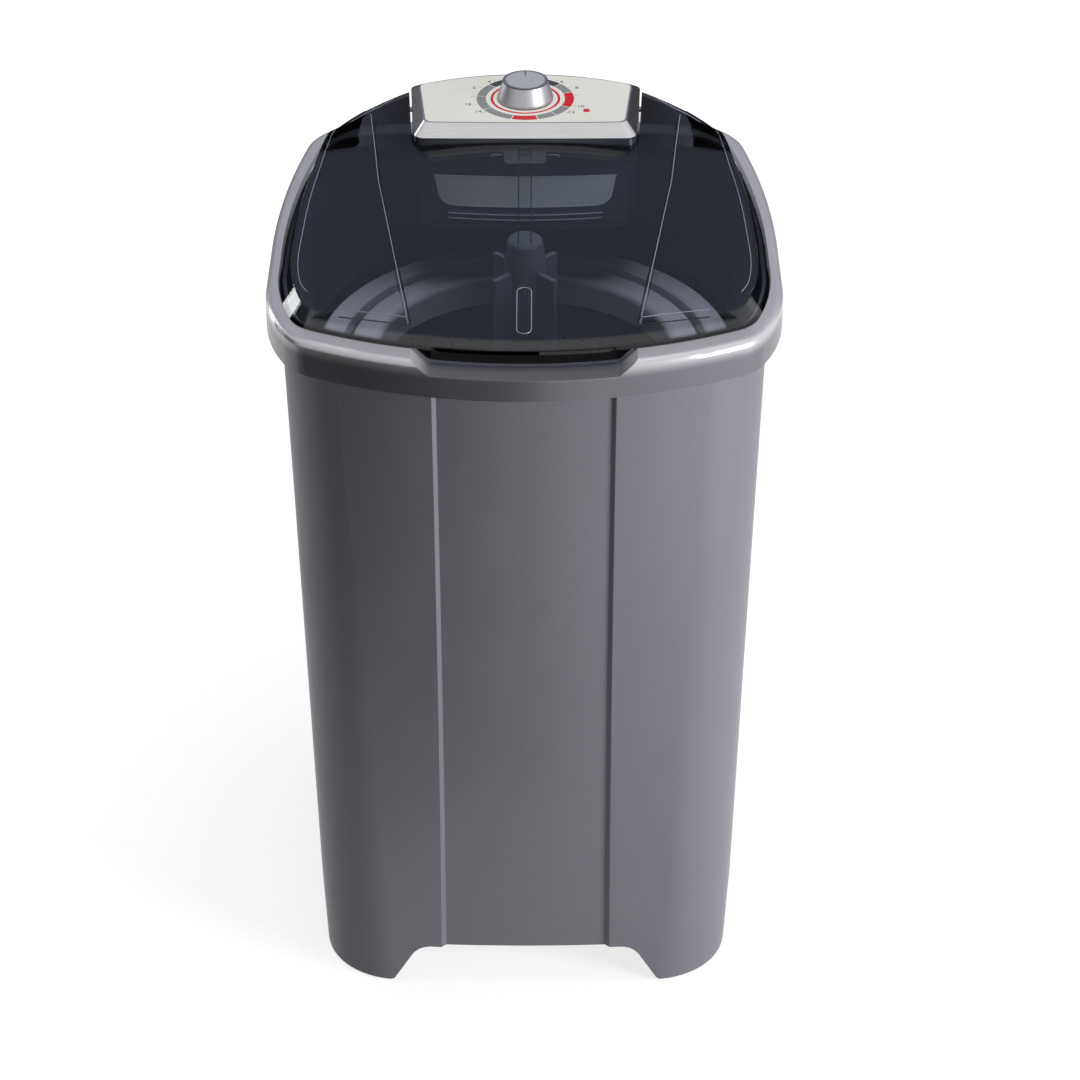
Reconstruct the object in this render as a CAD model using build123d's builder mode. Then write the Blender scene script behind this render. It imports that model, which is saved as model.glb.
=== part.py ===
from build123d import *
from dataclasses import dataclass
from math import asin, atan2, cos, degrees, radians, sin, sqrt
import os

# A top-loading washing machine with one suspended tub. Millimetres, +Z up, +X to the right
# and -Y to the front. The origin is on the floor, under the middle of the rim.

os.makedirs("parts", exist_ok=True)

# Where a cylinder or a box starts from its place
UPWARD = (Align.CENTER, Align.CENTER, Align.MIN)
DOWNWARD = (Align.CENTER, Align.CENTER, Align.MAX)


@dataclass(frozen=True)
class Plan:
    """A barrel-shaped outline seen from above, alike on the left and right."""

    half_width: float
    front: float
    rear: float
    front_radius: float
    front_corner: float
    front_shoulder: float
    front_shoulder_turn: float
    rear_shoulder: float
    rear_shoulder_turn: float
    rear_corner: float
    rear_radius: float


# Outlines of the cabinet, the rim and the lid
CABINET_FLOOR_PLAN = Plan(250, 284, 283, 3000, 89, 1255, 9, 1500, 3, 82, 3000)
CABINET_TOP_PLAN = Plan(263, 285, 284, 480, 106, 516, 3.5, 700, 12, 75, 1600)
RIM_PLAN = Plan(280, 295, 295, 520, 50, 217, 28.3, 1220, 11.7, 75, 1500)
LID_PLAN = Plan(267.5, 268, 268, 520, 45, 300, 20, 1150, 12.5, 58, 1500)
LID_CROWN_PLAN = Plan(245, 246, 256, 500, 30, 280, 20, 1100, 12, 45, 1500)

# Cabinet
CABINET_BOTTOM = 2
CABINET_TOP = 806
CABINET_WALL = 1
PANEL_HALF_WIDTH = 93
PANEL_DEPTH = 5
PANEL_STEP_RUN = 5.5
ARCH_HEIGHT = 52
ARCH_SLOPE_RUN = 30
ARCH_CORNER_RADIUS = 26
LEG_TOE_RADIUS = 8
FRONT_ARCH_HALF_WIDTH = 155
SIDE_ARCH_HALF_WIDTH = 200
FIT_GAP = 0.3

# Rear service cover
COVER_WIDTH = 320
COVER_HEIGHT = 400
COVER_CENTRE_HEIGHT = 330
COVER_LAP = 14
COVER_THICKNESS = 1.6
COVER_CORNER = 18

# Screws and bolts
SCREW_RADIUS = 2
SCREW_HEAD_RADIUS = 4.5
SCREW_HEAD_HEIGHT = 2.4
SCREW_LENGTH = 10
HEXAGON = 6

# Rim, deck and finger notch
RIM_BOTTOM = 799
RIM_TOP = 840
RIM_WALL = 3
RIM_ROLL = 8
LID_LAP = 9
NOTCH_TOP_HALF_WIDTH = 119
NOTCH_BOTTOM_HALF_WIDTH = 100
NOTCH_DEPTH = 16
NOTCH_CORNER = 6
DECK_WALL = 2.5
DECK_FLANGE = 3
DECK_WAIST_HEIGHT = 809
DECK_WAIST_INSET = 18.5
DECK_FLOOR_HEIGHT = 712
DECK_FLOOR_INSET = 21
DECK_HOLE_RADIUS = 240

# Lid
LID_BOTTOM = 840.4
LID_SHOULDER_HEIGHT = 873
LID_WALL = 3
LID_FRONT_HEIGHT = 850
LID_MIDDLE_HEIGHT = 889
LID_REAR_HEIGHT = 921
LID_FRONT_EDGE_DROP = 6
LID_MIDDLE_EDGE_DROP = 34
LID_REAR_EDGE_DROP = 141
LID_SPAN = 300
LID_MIDDLE_DEPTH = 133
LID_REAR_DEPTH = 262
LID_HEEL_HEIGHT = 852
LID_HEEL_DEPTH = 222
WING_RISE = 7
WING_BACK = (177, 215)
WING_MIDDLE = (162, 53)
WING_LOW = (137, -119)
WING_FRONT = (121, -228)
WING_FRONT_OUTER = (196, -208)
LID_GRIP_HALF_WIDTH = 97
LID_GRIP_DROP = 11
LID_GRIP_THICKNESS = 4
LID_TOP_CLEARANCE = 2
TONGUE_WIDTH = 14
TONGUE_RISE = 1.6
TONGUE_BACK = 118
TONGUE_FRONT = -80
LID_CONSOLE_GAP = 2.5
MAGNET_DEPTH = 122
MAGNET_LENGTH = 10
MAGNET_HEIGHT = 3.5
MAGNET_CLEARANCE = 0.2
MAGNET_CHAMFER = 0.6

# Lid hinge
HINGE_DEPTH = 234
HINGE_HEIGHT = 880
HINGE_PIN_RADIUS = 3
HINGE_RUNNING_GAP = 0.06
HINGE_EAR_RADIUS = 10.5
HINGE_EAR_THICKNESS = 5
HINGE_EAR_SIDE = 135.5
HINGE_BOSS_RADIUS = 7
HINGE_BOSS_LENGTH = 8

# Console
CONSOLE_BOTTOM = 784
CONSOLE_TOP = 893
BEZEL_TOP = 908.5
CONSOLE_WALL = 3
CONSOLE_FRONT = 133
CONSOLE_FRONT_HALF_WIDTH = 126
CONSOLE_REAR_HALF_WIDTH = 134
CONSOLE_REAR_CORNER = 270
CONSOLE_REAR = 288
CONSOLE_BELLY = 18
CONSOLE_TOP_BELLY = 1
CONSOLE_CORNER = 12
CONSOLE_STEP_DEPTH = 235
FACE_FRONT = 142
FACE_FRONT_HALF_WIDTH = 115
FACE_REAR_HALF_WIDTH = 124
FACE_REAR_CORNER = 241
FACE_REAR = 269
FACE_CORNER = 9
FACE_BELLY = 2
PANEL_PLATE_THICKNESS = 1.5
PANEL_PLATE_INSET = 2
CONSOLE_SCREW_SPACING = 66
CONSOLE_SCREW_COUNT = 4
CONSOLE_SCREW_DEPTH = 268
RAIL_SIDE = 86
RAIL_DEPTH = 162
RAIL_WIDTH = 5
RAIL_LENGTH = 60

# Knob, timer and lamp
KNOB_DEPTH = 204
KNOB_BASE_RADIUS = 32
KNOB_TOP_RADIUS = 25.5
KNOB_TOP = 932
KNOB_LIFT = 1.2
KNOB_RIM = 1.6
KNOB_CAP_RADIUS = 22.5
KNOB_CAP_DEPTH = 1.4
KNOB_TICK_WIDTH = 1.6
TIMER_SHAFT_RADIUS = 3
TIMER_WIDTH = 58
TIMER_HEIGHT = 34
TIMER_PLATE = 2
TIMER_PLATE_EAR = 7
TIMER_CORNER = 4
TIMER_NECK_RADIUS = 6
KNOB_HUB_RADIUS = 7
KNOB_FOOT = 2.5
LAMP_TAIL = 3
LAMP_RISE = 1.2
SWITCH_WIDTH = 30
SWITCH_LENGTH = 12
SWITCH_CORNER = 2
SWITCH_HEIGHT = 12
LAMP_PLACE = (70, 172)
LAMP_RADIUS = 4

# Filter in the console's front
FASCIA_HALF_WIDTH = 119
FASCIA_BOTTOM = 790
FASCIA_STEP_HEIGHT = 861
FASCIA_TOP = 875
FASCIA_STEP_HALF_WIDTH = 51
FASCIA_TOP_HALF_WIDTH = 36
WINDOW_TOP = 848
WINDOW_BOTTOM = 812
WINDOW_TOP_HALF_WIDTH = 104
WINDOW_BOTTOM_HALF_WIDTH = 97
WINDOW_CORNER = 16
WINDOW_THICKNESS = 2
LIP_BOTTOM = 797
LIP_TOP = 806
LIP_HALF_WIDTH = 90
LIP_REACH = 4
TAB_HALF_WIDTH = 24
TAB_BOTTOM = 866
TAB_TOP = 878
TAB_REACH = 5
FILTER_BOX_HALF_WIDTH = 96
FILTER_BOX_LENGTH = 52
FILTER_BOX_BOTTOM = 801
FILTER_BOX_TOP = 855
FILTER_BOX_WALL = 2
TAB_CORNER = 3

# Tub, basket and balance ring
TUB_FLOOR = 240
TUB_FLOOR_THICKNESS = 3
TUB_WALL = 2.5
TUB_FLOOR_RADIUS = 222
TUB_TOP_RADIUS = 231
TUB_CORNER = 14
TUB_TOP = 690
TUB_RIB_HEIGHT = 14
TUB_RIB_THICKNESS = 3
TUB_RIB_COUNT = 8
RING_TOP = 702
RING_INNER_RADIUS = 208
RING_OUTER_RADIUS = 234
RING_WALL = 3
RING_SKIRT = 6
BASKET_RADIUS = 197
BASKET_WALL = 0.8
BASKET_FLOOR = 264
BASKET_TOP = 664
BASKET_CORNER = 24
BASKET_BEAD = 1.5
BASKET_HOLE_RADIUS = 4
BASKET_HOLE_COLUMNS = 12
BASKET_HOLE_ROWS = 3
BASKET_HOLE_LOW = 400
BASKET_HOLE_STEP = 80
BALANCE_INNER_RADIUS = 166
BALANCE_OUTER_RADIUS = 200
BALANCE_TOP = 700
BALANCE_ROUND = 9
HUB_RADIUS = 62
HUB_THICKNESS = 6
HUB_BOSS_RADIUS = 26
HUB_BOSS_HEIGHT = 8
HUB_SCREW_CIRCLE = 48
HUB_SCREW_COUNT = 6

# Agitator
SKIRT_RADIUS = 148
SKIRT_BOTTOM = 274
SKIRT_RISE = 44
SKIRT_CROWN_WALLS = 1.4
COLUMN_FOOT_RADIUS = 42
COLUMN_RADIUS = 23
COLUMN_TOP = 812
AGITATOR_WALL = 2.5
VANE_COUNT = 4
VANE_TURN = 45
VANE_THICKNESS = 6
VANE_RADIUS = 140
VANE_TOP = 430
FIN_RADIUS = 48
FIN_BOTTOM = 560
FIN_TOP = 800
CAP_TOP = 837
CAP_LIP = 8
CAP_TAPER = 8

# Drive
BEARING_RADIUS = 26
BEARING_WIDTH = 15
SPIN_TUBE_RADIUS = 12.5
AGITATOR_SHAFT_RADIUS = 8.5
RUNNING_GAP = 0.06
HOUSING_RADIUS = 38
HOUSING_FLANGE_RADIUS = 60
HOUSING_FLANGE = 5
HOUSING_BOTTOM = 190
HOUSING_TOP = 246
SEAL_HEIGHT = 7
GEARCASE_COLLAR = 50
GEARCASE_SCREW_CIRCLE = 44
GEARCASE_SCREW_COUNT = 6
GEARCASE_RADIUS = 78
GEARCASE_BOTTOM = 118
GEARCASE_CHAMFER = 14
GEARCASE_LIP = 8
GEARCASE_BORE = 14
GEARCASE_BOSS_RADIUS = 20
GEARCASE_BOSS_HEIGHT = 8
INPUT_SHAFT_RADIUS = 8
PULLEY_MIDDLE = 96
PULLEY_WIDTH = 16
DRIVEN_PULLEY_RADIUS = 95
MOTOR_PULLEY_RADIUS = 26
BELT_WIDTH = 8
BELT_THICKNESS = 6
GROOVE_CLEARANCE = 2
GROOVE_FLARE = 1
BELT_SINK = 1
PULLEY_HUB_RADIUS = 17
PULLEY_HUB_LIP = 2
SPOKE_HOLE_RADIUS = 18
SPOKE_HOLE_CIRCLE = 48
SPOKE_HOLE_COUNT = 5
PULLEY_WEB = 6
MOTOR_DISTANCE = 168
MOTOR_RADIUS = 60
MOTOR_BOTTOM = 118
MOTOR_SHAFT_RADIUS = 6
BRACKET_THICKNESS = 4
BRACKET_MARGIN = 13
MOTOR_BOLT_SIDE = 66
MOTOR_BOLT_FRONT = 104
MOTOR_BOLT_REAR = 190
MOTOR_BOLT_RADIUS = 4
MOTOR_BOLT_GRIP = 12
MOTOR_COLLAR_RADIUS = 22
MOTOR_BELL_HEIGHT = 26
MOTOR_BAND_RISE = 3

# Suspension
ROD_SIDE = 188
ROD_DEPTH = 218
ROD_RADIUS = 3.5
ROD_CLEARANCE = 2
ROD_NUT_HEIGHT = 4
ROD_BOTTOM = 140
ROD_HEAD_RADIUS = 7
ROD_HEAD_HEIGHT = 9
BRACKET_HEIGHT = 688
BRACKET_PLATE = 4
BRACKET_BOSS_HEIGHT = 5
BRACKET_BOSS_RADIUS = 13
BRACKET_CUT_RADIUS = 252
BRACKET_REACH_SIDE = 127
BRACKET_REACH_DEPTH = 150
SLEEVE_RADIUS = 20
SLEEVE_HEIGHT = 34
SLEEVE_WALL = 2
SPRING_RADIUS = 16
SPRING_WIRE = 4
ROD_CAP_THICKNESS = 7
EAR_WIDTH = 46
EAR_THICKNESS = 6

# Base frame and feet
FRAME_BOTTOM = 56
FRAME_THICKNESS = 10
FRAME_BAR = 48
POST_SIDE = 182
POST_DEPTH = 224
POST_RADIUS = 22
POST_WALL = 3
FOOT_RADIUS = 20
FOOT_HEIGHT = 7
FOOT_CHAMFER = 1.2

# Drain, cable gland and capacitor
DRAIN_SIDE = -100
DRAIN_DEPTH = 88
DRAIN_RADIUS = 13
DRAIN_WALL = 2
DRAIN_OUTLET_LENGTH = 26
DRAIN_BEND = 40
DRAIN_PLATE = 3
PULLEY_NUT_RADIUS = 10
PULLEY_NUT_HEIGHT = 7
SPIGOT_HEIGHT = 34
SPIGOT_RADIUS = 12
SPIGOT_END = 293
SPIGOT_BORE = 9.5
SPIGOT_PLATE_DEPTH = 255
SPIGOT_PLATE_WIDTH = 36
GLAND_SIDE = 128
GLAND_HEIGHT = 96
GLAND_RADIUS = 11
GLAND_NECK = 7
GLAND_BORE = 4
GLAND_REACH = 8
GLAND_TAIL = 11
CAPACITOR_SIDE = 222
CAPACITOR_RADIUS = 17
CAPACITOR_HEIGHT = 62
CLIP_WALL = 2
CLIP_HEIGHT = 14


def crown_turn(half_width, crown, corner, shoulder, shoulder_turn):
    """Degrees that a crown arc turns before the corner arc takes over."""
    shoulder_cosine = cos(radians(shoulder_turn))
    reach = half_width - corner * shoulder_cosine - shoulder * (1 - shoulder_cosine)
    return degrees(asin(reach / (crown - corner)))


def plan_sketch(plan, height, inset=0):
    """The outline as a face at a height, drawn in by inset all round."""
    front_turn = crown_turn(plan.half_width, plan.front_radius, plan.front_corner,
                            plan.front_shoulder, plan.front_shoulder_turn)
    rear_turn = crown_turn(plan.half_width, plan.rear_radius, plan.rear_corner,
                           plan.rear_shoulder, plan.rear_shoulder_turn)
    rear_shoulder_sine = sin(radians(plan.rear_shoulder_turn))
    rear_cosine = cos(radians(rear_turn))
    rear_rise = (plan.rear_shoulder * rear_shoulder_sine
                 + plan.rear_corner * (rear_cosine - rear_shoulder_sine)
                 + plan.rear_radius * (1 - rear_cosine))
    with BuildSketch(Plane.XY.offset(height)) as outline:
        with BuildLine():
            crown = JernArc((0, inset - plan.front), (1, 0), plan.front_radius - inset, front_turn)
            corner = JernArc(crown @ 1, crown % 1, plan.front_corner - inset,
                             90 - front_turn - plan.front_shoulder_turn)
            shoulder = JernArc(corner @ 1, corner % 1, plan.front_shoulder - inset,
                               plan.front_shoulder_turn)
            side = Line(shoulder @ 1, ((shoulder @ 1).X, plan.rear - rear_rise))
            rear_shoulder = JernArc(side @ 1, side % 1, plan.rear_shoulder - inset,
                                    plan.rear_shoulder_turn)
            rear_corner = JernArc(rear_shoulder @ 1, rear_shoulder % 1, plan.rear_corner - inset,
                                  90 - rear_turn - plan.rear_shoulder_turn)
            JernArc(rear_corner @ 1, rear_corner % 1, plan.rear_radius - inset, rear_turn)
            mirror(about=Plane.YZ)
        make_face()
    return outline.sketch


def front_surface(plan, side):
    """Depth of an outline's front at a distance from the middle."""
    return plan.front_radius - plan.front - sqrt(plan.front_radius**2 - side**2)


def cabinet_form(inset):
    """The cabinet's drafted outside, drawn in by inset."""
    floor = plan_sketch(CABINET_FLOOR_PLAN, CABINET_BOTTOM, inset)
    top = plan_sketch(CABINET_TOP_PLAN, CABINET_TOP, inset)
    with BuildPart() as form:
        loft([floor, top], ruled=True)
    return form.part


def panel_wedge(widen):
    """A long block over the front's middle panel, with its two slanted sides."""
    slope = PANEL_STEP_RUN / PANEL_DEPTH
    outer_reach = 4 * PANEL_DEPTH
    inner_reach = 3 * PANEL_DEPTH
    with BuildPart() as wedge:
        for plan, height in ((CABINET_FLOOR_PLAN, CABINET_BOTTOM), (CABINET_TOP_PLAN, CABINET_TOP)):
            face_depth = front_surface(plan, PANEL_HALF_WIDTH)
            outer_half = PANEL_HALF_WIDTH + widen + PANEL_STEP_RUN + outer_reach * slope
            inner_half = PANEL_HALF_WIDTH + widen - (inner_reach - PANEL_DEPTH) * slope
            with BuildSketch(Plane.XY.offset(height)):
                with BuildLine():
                    Polyline((-outer_half, face_depth - outer_reach),
                             (outer_half, face_depth - outer_reach),
                             (inner_half, face_depth + inner_reach),
                             (-inner_half, face_depth + inner_reach), close=True)
                make_face()
        loft(ruled=True)
    return wedge.part


def arch_cut(half_width, plane):
    """An arch through two opposite walls at floor level, between two legs."""
    toe = half_width + 2 * LEG_TOE_RADIUS
    below = CABINET_BOTTOM - LEG_TOE_RADIUS
    with BuildPart() as arch:
        with BuildSketch(plane) as outline:
            with BuildLine():
                Polyline((-toe, below), (-toe, CABINET_BOTTOM), (-half_width, CABINET_BOTTOM),
                         (ARCH_SLOPE_RUN - half_width, ARCH_HEIGHT),
                         (half_width - ARCH_SLOPE_RUN, ARCH_HEIGHT), (half_width, CABINET_BOTTOM),
                         (toe, CABINET_BOTTOM), (toe, below), close=True)
            make_face()
            fillet(outline.vertices().group_by(Axis.Y)[-1], ARCH_CORNER_RADIUS)
            toes = outline.vertices().filter_by_position(Axis.Y, CABINET_BOTTOM - 1, CABINET_BOTTOM + 1)
            fillet(toes.sort_by(Axis.X)[1:3], LEG_TOE_RADIUS)
        extrude(amount=RIM_PLAN.front, both=True)
    return arch.part


def plan_block(plan, low, high, inset=0):
    """A straight block of one outline between two heights."""
    with BuildPart() as block:
        extrude(plan_sketch(plan, low, inset), amount=high - low)
    return block.part


def deck_well(inset):
    """The well under the lid: wide at the rim, waisted inside the cabinet."""
    mouth = plan_sketch(LID_PLAN, RIM_TOP - RIM_WALL, LID_LAP + inset)
    waist = plan_sketch(LID_PLAN, DECK_WAIST_HEIGHT, DECK_WAIST_INSET + inset)
    floor = plan_sketch(LID_PLAN, DECK_FLOOR_HEIGHT, DECK_FLOOR_INSET + inset)
    with BuildPart() as well:
        loft([floor, waist, mouth], ruled=True)
    return well.part


def notch_block(margin):
    """The finger notch through the rim's front, grown by margin to the sides and down."""
    bottom = RIM_TOP - NOTCH_DEPTH - margin
    lean = (NOTCH_TOP_HALF_WIDTH - NOTCH_BOTTOM_HALF_WIDTH) / NOTCH_DEPTH
    top_half = NOTCH_TOP_HALF_WIDTH + margin + lean
    bottom_half = NOTCH_BOTTOM_HALF_WIDTH + margin
    with BuildPart() as notch:
        with BuildSketch(Plane.XZ.offset(RIM_PLAN.front - 2 * NOTCH_BOTTOM_HALF_WIDTH)) as outline:
            with BuildLine():
                Polyline((-bottom_half, bottom), (bottom_half, bottom), (top_half, RIM_TOP + 1),
                         (-top_half, RIM_TOP + 1), close=True)
            make_face()
            fillet(outline.vertices().group_by(Axis.Y)[0], NOTCH_CORNER)
        extrude(amount=3 * NOTCH_BOTTOM_HALF_WIDTH)
    return notch.part


def lid_crown(drop):
    """Everything under the lid's arched top surface, which climbs and narrows to the rear."""
    sections = []
    for depth, height, edge_drop in (
            (-RIM_PLAN.front, LID_FRONT_HEIGHT, LID_FRONT_EDGE_DROP),
            (LID_MIDDLE_DEPTH, LID_MIDDLE_HEIGHT, LID_MIDDLE_EDGE_DROP),
            (LID_REAR_DEPTH, LID_REAR_HEIGHT, LID_REAR_EDGE_DROP)):
        with BuildSketch(Plane.XZ.offset(-depth)) as section:
            with BuildLine():
                edge = height - edge_drop - drop
                ThreePointArc((-LID_SPAN, edge), (0, height - drop), (LID_SPAN, edge))
                Polyline((LID_SPAN, edge), (LID_SPAN, DECK_FLOOR_HEIGHT),
                         (-LID_SPAN, DECK_FLOOR_HEIGHT), (-LID_SPAN, edge))
            make_face()
        sections.append(section.sketch)
    with BuildPart() as crown:
        loft(sections, ruled=True)
    return crown.part


def lid_walls(inset):
    """The lid's plan as a block whose sides lean in and then stand up."""
    bottom = plan_sketch(LID_PLAN, LID_BOTTOM, inset)
    shoulder = plan_sketch(LID_CROWN_PLAN, LID_SHOULDER_HEIGHT, inset)
    top = plan_sketch(LID_CROWN_PLAN, lid_top_limit, inset + 1)
    with BuildPart() as walls:
        loft([bottom, shoulder, top], ruled=True)
    return walls.part


def wing_blocks(margin):
    """Two upright blocks over the lid's raised wings, drawn in by margin."""
    with BuildPart() as wings:
        with BuildSketch(Plane.XY.offset(LID_BOTTOM)):
            with BuildLine():
                Polyline((WING_BACK[0] + margin, WING_BACK[1] - margin),
                         (WING_MIDDLE[0] + margin, WING_MIDDLE[1]),
                         (WING_LOW[0] + margin, WING_LOW[1]),
                         (WING_FRONT[0] + margin, WING_FRONT[1] + margin),
                         (WING_FRONT_OUTER[0], WING_FRONT_OUTER[1] + margin),
                         (LID_SPAN, WING_FRONT_OUTER[1] + margin),
                         (LID_SPAN, WING_BACK[1] - margin), close=True)
            make_face()
            mirror(about=Plane.YZ)
        extrude(amount=lid_top_limit - LID_BOTTOM)
    return wings.part


def console_plan(height, belly, grow=0):
    """The console's outline: a front that bulges by belly, sides that spread, a bowed rear."""
    front = CONSOLE_FRONT - grow
    with BuildSketch(Plane.XY.offset(height)) as outline:
        with BuildLine():
            front_half = CONSOLE_FRONT_HALF_WIDTH + grow
            rear_half = CONSOLE_REAR_HALF_WIDTH + grow
            ThreePointArc((-front_half, front), (0, front - belly), (front_half, front))
            Line((front_half, front), (rear_half, CONSOLE_REAR_CORNER + grow))
            ThreePointArc((rear_half, CONSOLE_REAR_CORNER + grow), (0, CONSOLE_REAR + grow),
                          (-rear_half, CONSOLE_REAR_CORNER + grow))
            Line((-rear_half, CONSOLE_REAR_CORNER + grow), (-front_half, front))
        make_face()
        fillet(outline.vertices(), CONSOLE_CORNER + grow)
    return outline.sketch


def console_form(grow):
    """The console housing's outside, grown all round."""
    with BuildPart() as form:
        loft([console_plan(CONSOLE_BOTTOM, CONSOLE_BELLY, grow),
              console_plan(CONSOLE_TOP, CONSOLE_TOP_BELLY, grow)], ruled=True)
    return form.part


def face_plan(height, inset):
    """The control panel's outline, drawn in by inset."""
    with BuildSketch(Plane.XY.offset(height)) as outline:
        with BuildLine():
            front = FACE_FRONT + inset
            front_half = FACE_FRONT_HALF_WIDTH - inset
            rear_half = FACE_REAR_HALF_WIDTH - inset
            ThreePointArc((-front_half, front), (0, front - FACE_BELLY), (front_half, front))
            Line((front_half, front), (rear_half, FACE_REAR_CORNER))
            ThreePointArc((rear_half, FACE_REAR_CORNER), (0, FACE_REAR - inset),
                          (-rear_half, FACE_REAR_CORNER))
            Line((-rear_half, FACE_REAR_CORNER), (-front_half, front))
        make_face()
        fillet(outline.vertices(), FACE_CORNER)
    return outline.sketch


def front_block(points, near, far):
    """An upright outline, given as side and height, as a block from a near to a far depth."""
    with BuildPart() as block:
        with BuildSketch(Plane.XZ.offset(-far)):
            with BuildLine():
                Polyline(*points, close=True)
            make_face()
        extrude(amount=far - near)
    return block.part


def turned(points, rounded=(), radius=0):
    """A closed outline, given as radius and height, turned about the machine's axis.

    The rounded points are corners of the outline that get the radius.
    """
    with BuildPart() as piece:
        with BuildSketch(Plane.XZ) as outline:
            with BuildLine():
                Polyline(*points, close=True)
            make_face()
            for point in rounded:
                fillet(outline.vertices().sort_by_distance(Vector(*point))[0], radius)
        revolve(axis=Axis.Z)
    return piece.part


def tube(outer, inner, low, high):
    """An upright tube, or a rod where inner is 0, on its own axis."""
    with BuildPart() as piece:
        with BuildSketch(Plane.XY.offset(low)):
            Circle(outer)
            if inner:
                Circle(inner, mode=Mode.SUBTRACT)
        extrude(amount=high - low)
    return piece.part


def fascia_block(grow):
    """The filter front's outline with its stepped top edge, grown all round."""
    bottom = FASCIA_BOTTOM - grow
    half = FASCIA_HALF_WIDTH + grow
    step = FASCIA_STEP_HEIGHT + grow
    top = FASCIA_TOP + grow
    return front_block([(-half, bottom), (half, bottom), (half, step), (FASCIA_STEP_HALF_WIDTH, step),
                        (FASCIA_TOP_HALF_WIDTH, top), (-FASCIA_TOP_HALF_WIDTH, top),
                        (-FASCIA_STEP_HALF_WIDTH, step), (-half, step)],
                       CONSOLE_FRONT - 3 * CONSOLE_BELLY, CONSOLE_FRONT + 2 * CONSOLE_WALL)


def window_block(grow):
    """The filter window's outline, with round lower corners, grown all round."""
    top = WINDOW_TOP + grow
    bottom = WINDOW_BOTTOM - grow
    with BuildPart() as block:
        with BuildSketch(Plane.XZ.offset(-CONSOLE_FRONT - 2 * CONSOLE_WALL)) as outline:
            with BuildLine():
                Polyline((-WINDOW_TOP_HALF_WIDTH - grow, top), (WINDOW_TOP_HALF_WIDTH + grow, top),
                         (WINDOW_BOTTOM_HALF_WIDTH + grow, bottom),
                         (-WINDOW_BOTTOM_HALF_WIDTH - grow, bottom), close=True)
            make_face()
            fillet(outline.vertices().group_by(Axis.Y)[0], WINDOW_CORNER)
        extrude(amount=3 * CONSOLE_BELLY)
    return block.part


def row_of_holes(radius):
    """Upright cylinders at the console's screws, through the rim, deck and console."""
    with BuildPart() as holes:
        with BuildSketch(Plane.XY.offset(DECK_FLOOR_HEIGHT)):
            with Locations((0, CONSOLE_SCREW_DEPTH)):
                with GridLocations(CONSOLE_SCREW_SPACING, 1, CONSOLE_SCREW_COUNT, 1):
                    Circle(radius)
        extrude(amount=BEZEL_TOP - DECK_FLOOR_HEIGHT)
    return holes.part


def rear_surface(side, height):
    """Depth of the cabinet's rear wall at a side and a height."""
    share = (height - CABINET_BOTTOM) / (CABINET_TOP - CABINET_BOTTOM)
    depths = [plan.rear - plan.rear_radius + sqrt(plan.rear_radius**2 - side**2)
              for plan in (CABINET_FLOOR_PLAN, CABINET_TOP_PLAN)]
    return depths[0] + share * (depths[1] - depths[0])


def rear_block(width, height, corner):
    """A rounded block through the rear wall, around the service cover's centre."""
    with BuildPart() as block:
        with BuildSketch(Plane.XZ.offset(-CABINET_TOP_PLAN.rear / 2)):
            with Locations((0, COVER_CENTRE_HEIGHT)):
                RectangleRounded(width, height, corner)
        extrude(amount=-CABINET_TOP_PLAN.rear)
    return block.part


def cover_screws_form(radius, reach):
    """Rods through the cover's edge, standing reach out of the rear wall."""
    with BuildPart() as rods:
        for side in (-1, 1):
            for row in (-1, 0, 1):
                across = side * (COVER_WIDTH - COVER_LAP) / 2
                height = COVER_CENTRE_HEIGHT + row * (COVER_HEIGHT - COVER_LAP) / 2
                depth = rear_surface(across, height) + COVER_THICKNESS + reach
                with BuildSketch(Plane.XZ.offset(-depth)):
                    with Locations((across, height)):
                        Circle(radius)
                extrude(amount=SCREW_LENGTH + reach)
    return rods.part


def pulley(radius, bore, hub, centre_depth):
    """A belt pulley: hub, web and a rim with a groove for the belt."""
    low = PULLEY_MIDDLE - PULLEY_WIDTH / 2
    high = PULLEY_MIDDLE + PULLEY_WIDTH / 2
    foot = radius - BELT_SINK - BELT_THICKNESS - GROOVE_CLEARANCE
    groove_half = BELT_WIDTH / 2 + GROOVE_FLARE
    rim = foot - PULLEY_WEB
    below = [(bore, low - PULLEY_HUB_LIP), (hub, low - PULLEY_HUB_LIP)]
    above = [(hub, high + PULLEY_HUB_LIP), (bore, high + PULLEY_HUB_LIP)]
    if rim > hub:
        below += [(hub, PULLEY_MIDDLE - PULLEY_WEB / 2), (rim, PULLEY_MIDDLE - PULLEY_WEB / 2),
                  (rim, low)]
        above = [(rim, high), (rim, PULLEY_MIDDLE + PULLEY_WEB / 2),
                 (hub, PULLEY_MIDDLE + PULLEY_WEB / 2)] + above
    else:
        below.append((hub, low))
        above.insert(0, (hub, high))
    groove = [(radius, low), (radius, PULLEY_MIDDLE - groove_half - GROOVE_FLARE),
              (foot, PULLEY_MIDDLE - groove_half + GROOVE_FLARE),
              (foot, PULLEY_MIDDLE + groove_half - GROOVE_FLARE),
              (radius, PULLEY_MIDDLE + groove_half + GROOVE_FLARE), (radius, high)]
    with BuildPart() as wheel:
        with BuildSketch(Plane.XZ.offset(-centre_depth)):
            with BuildLine():
                Polyline(*below, *groove, *above, close=True)
            make_face()
        revolve(axis=Axis((0, centre_depth, 0), (0, 0, 1)))
    return wheel.part


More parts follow.
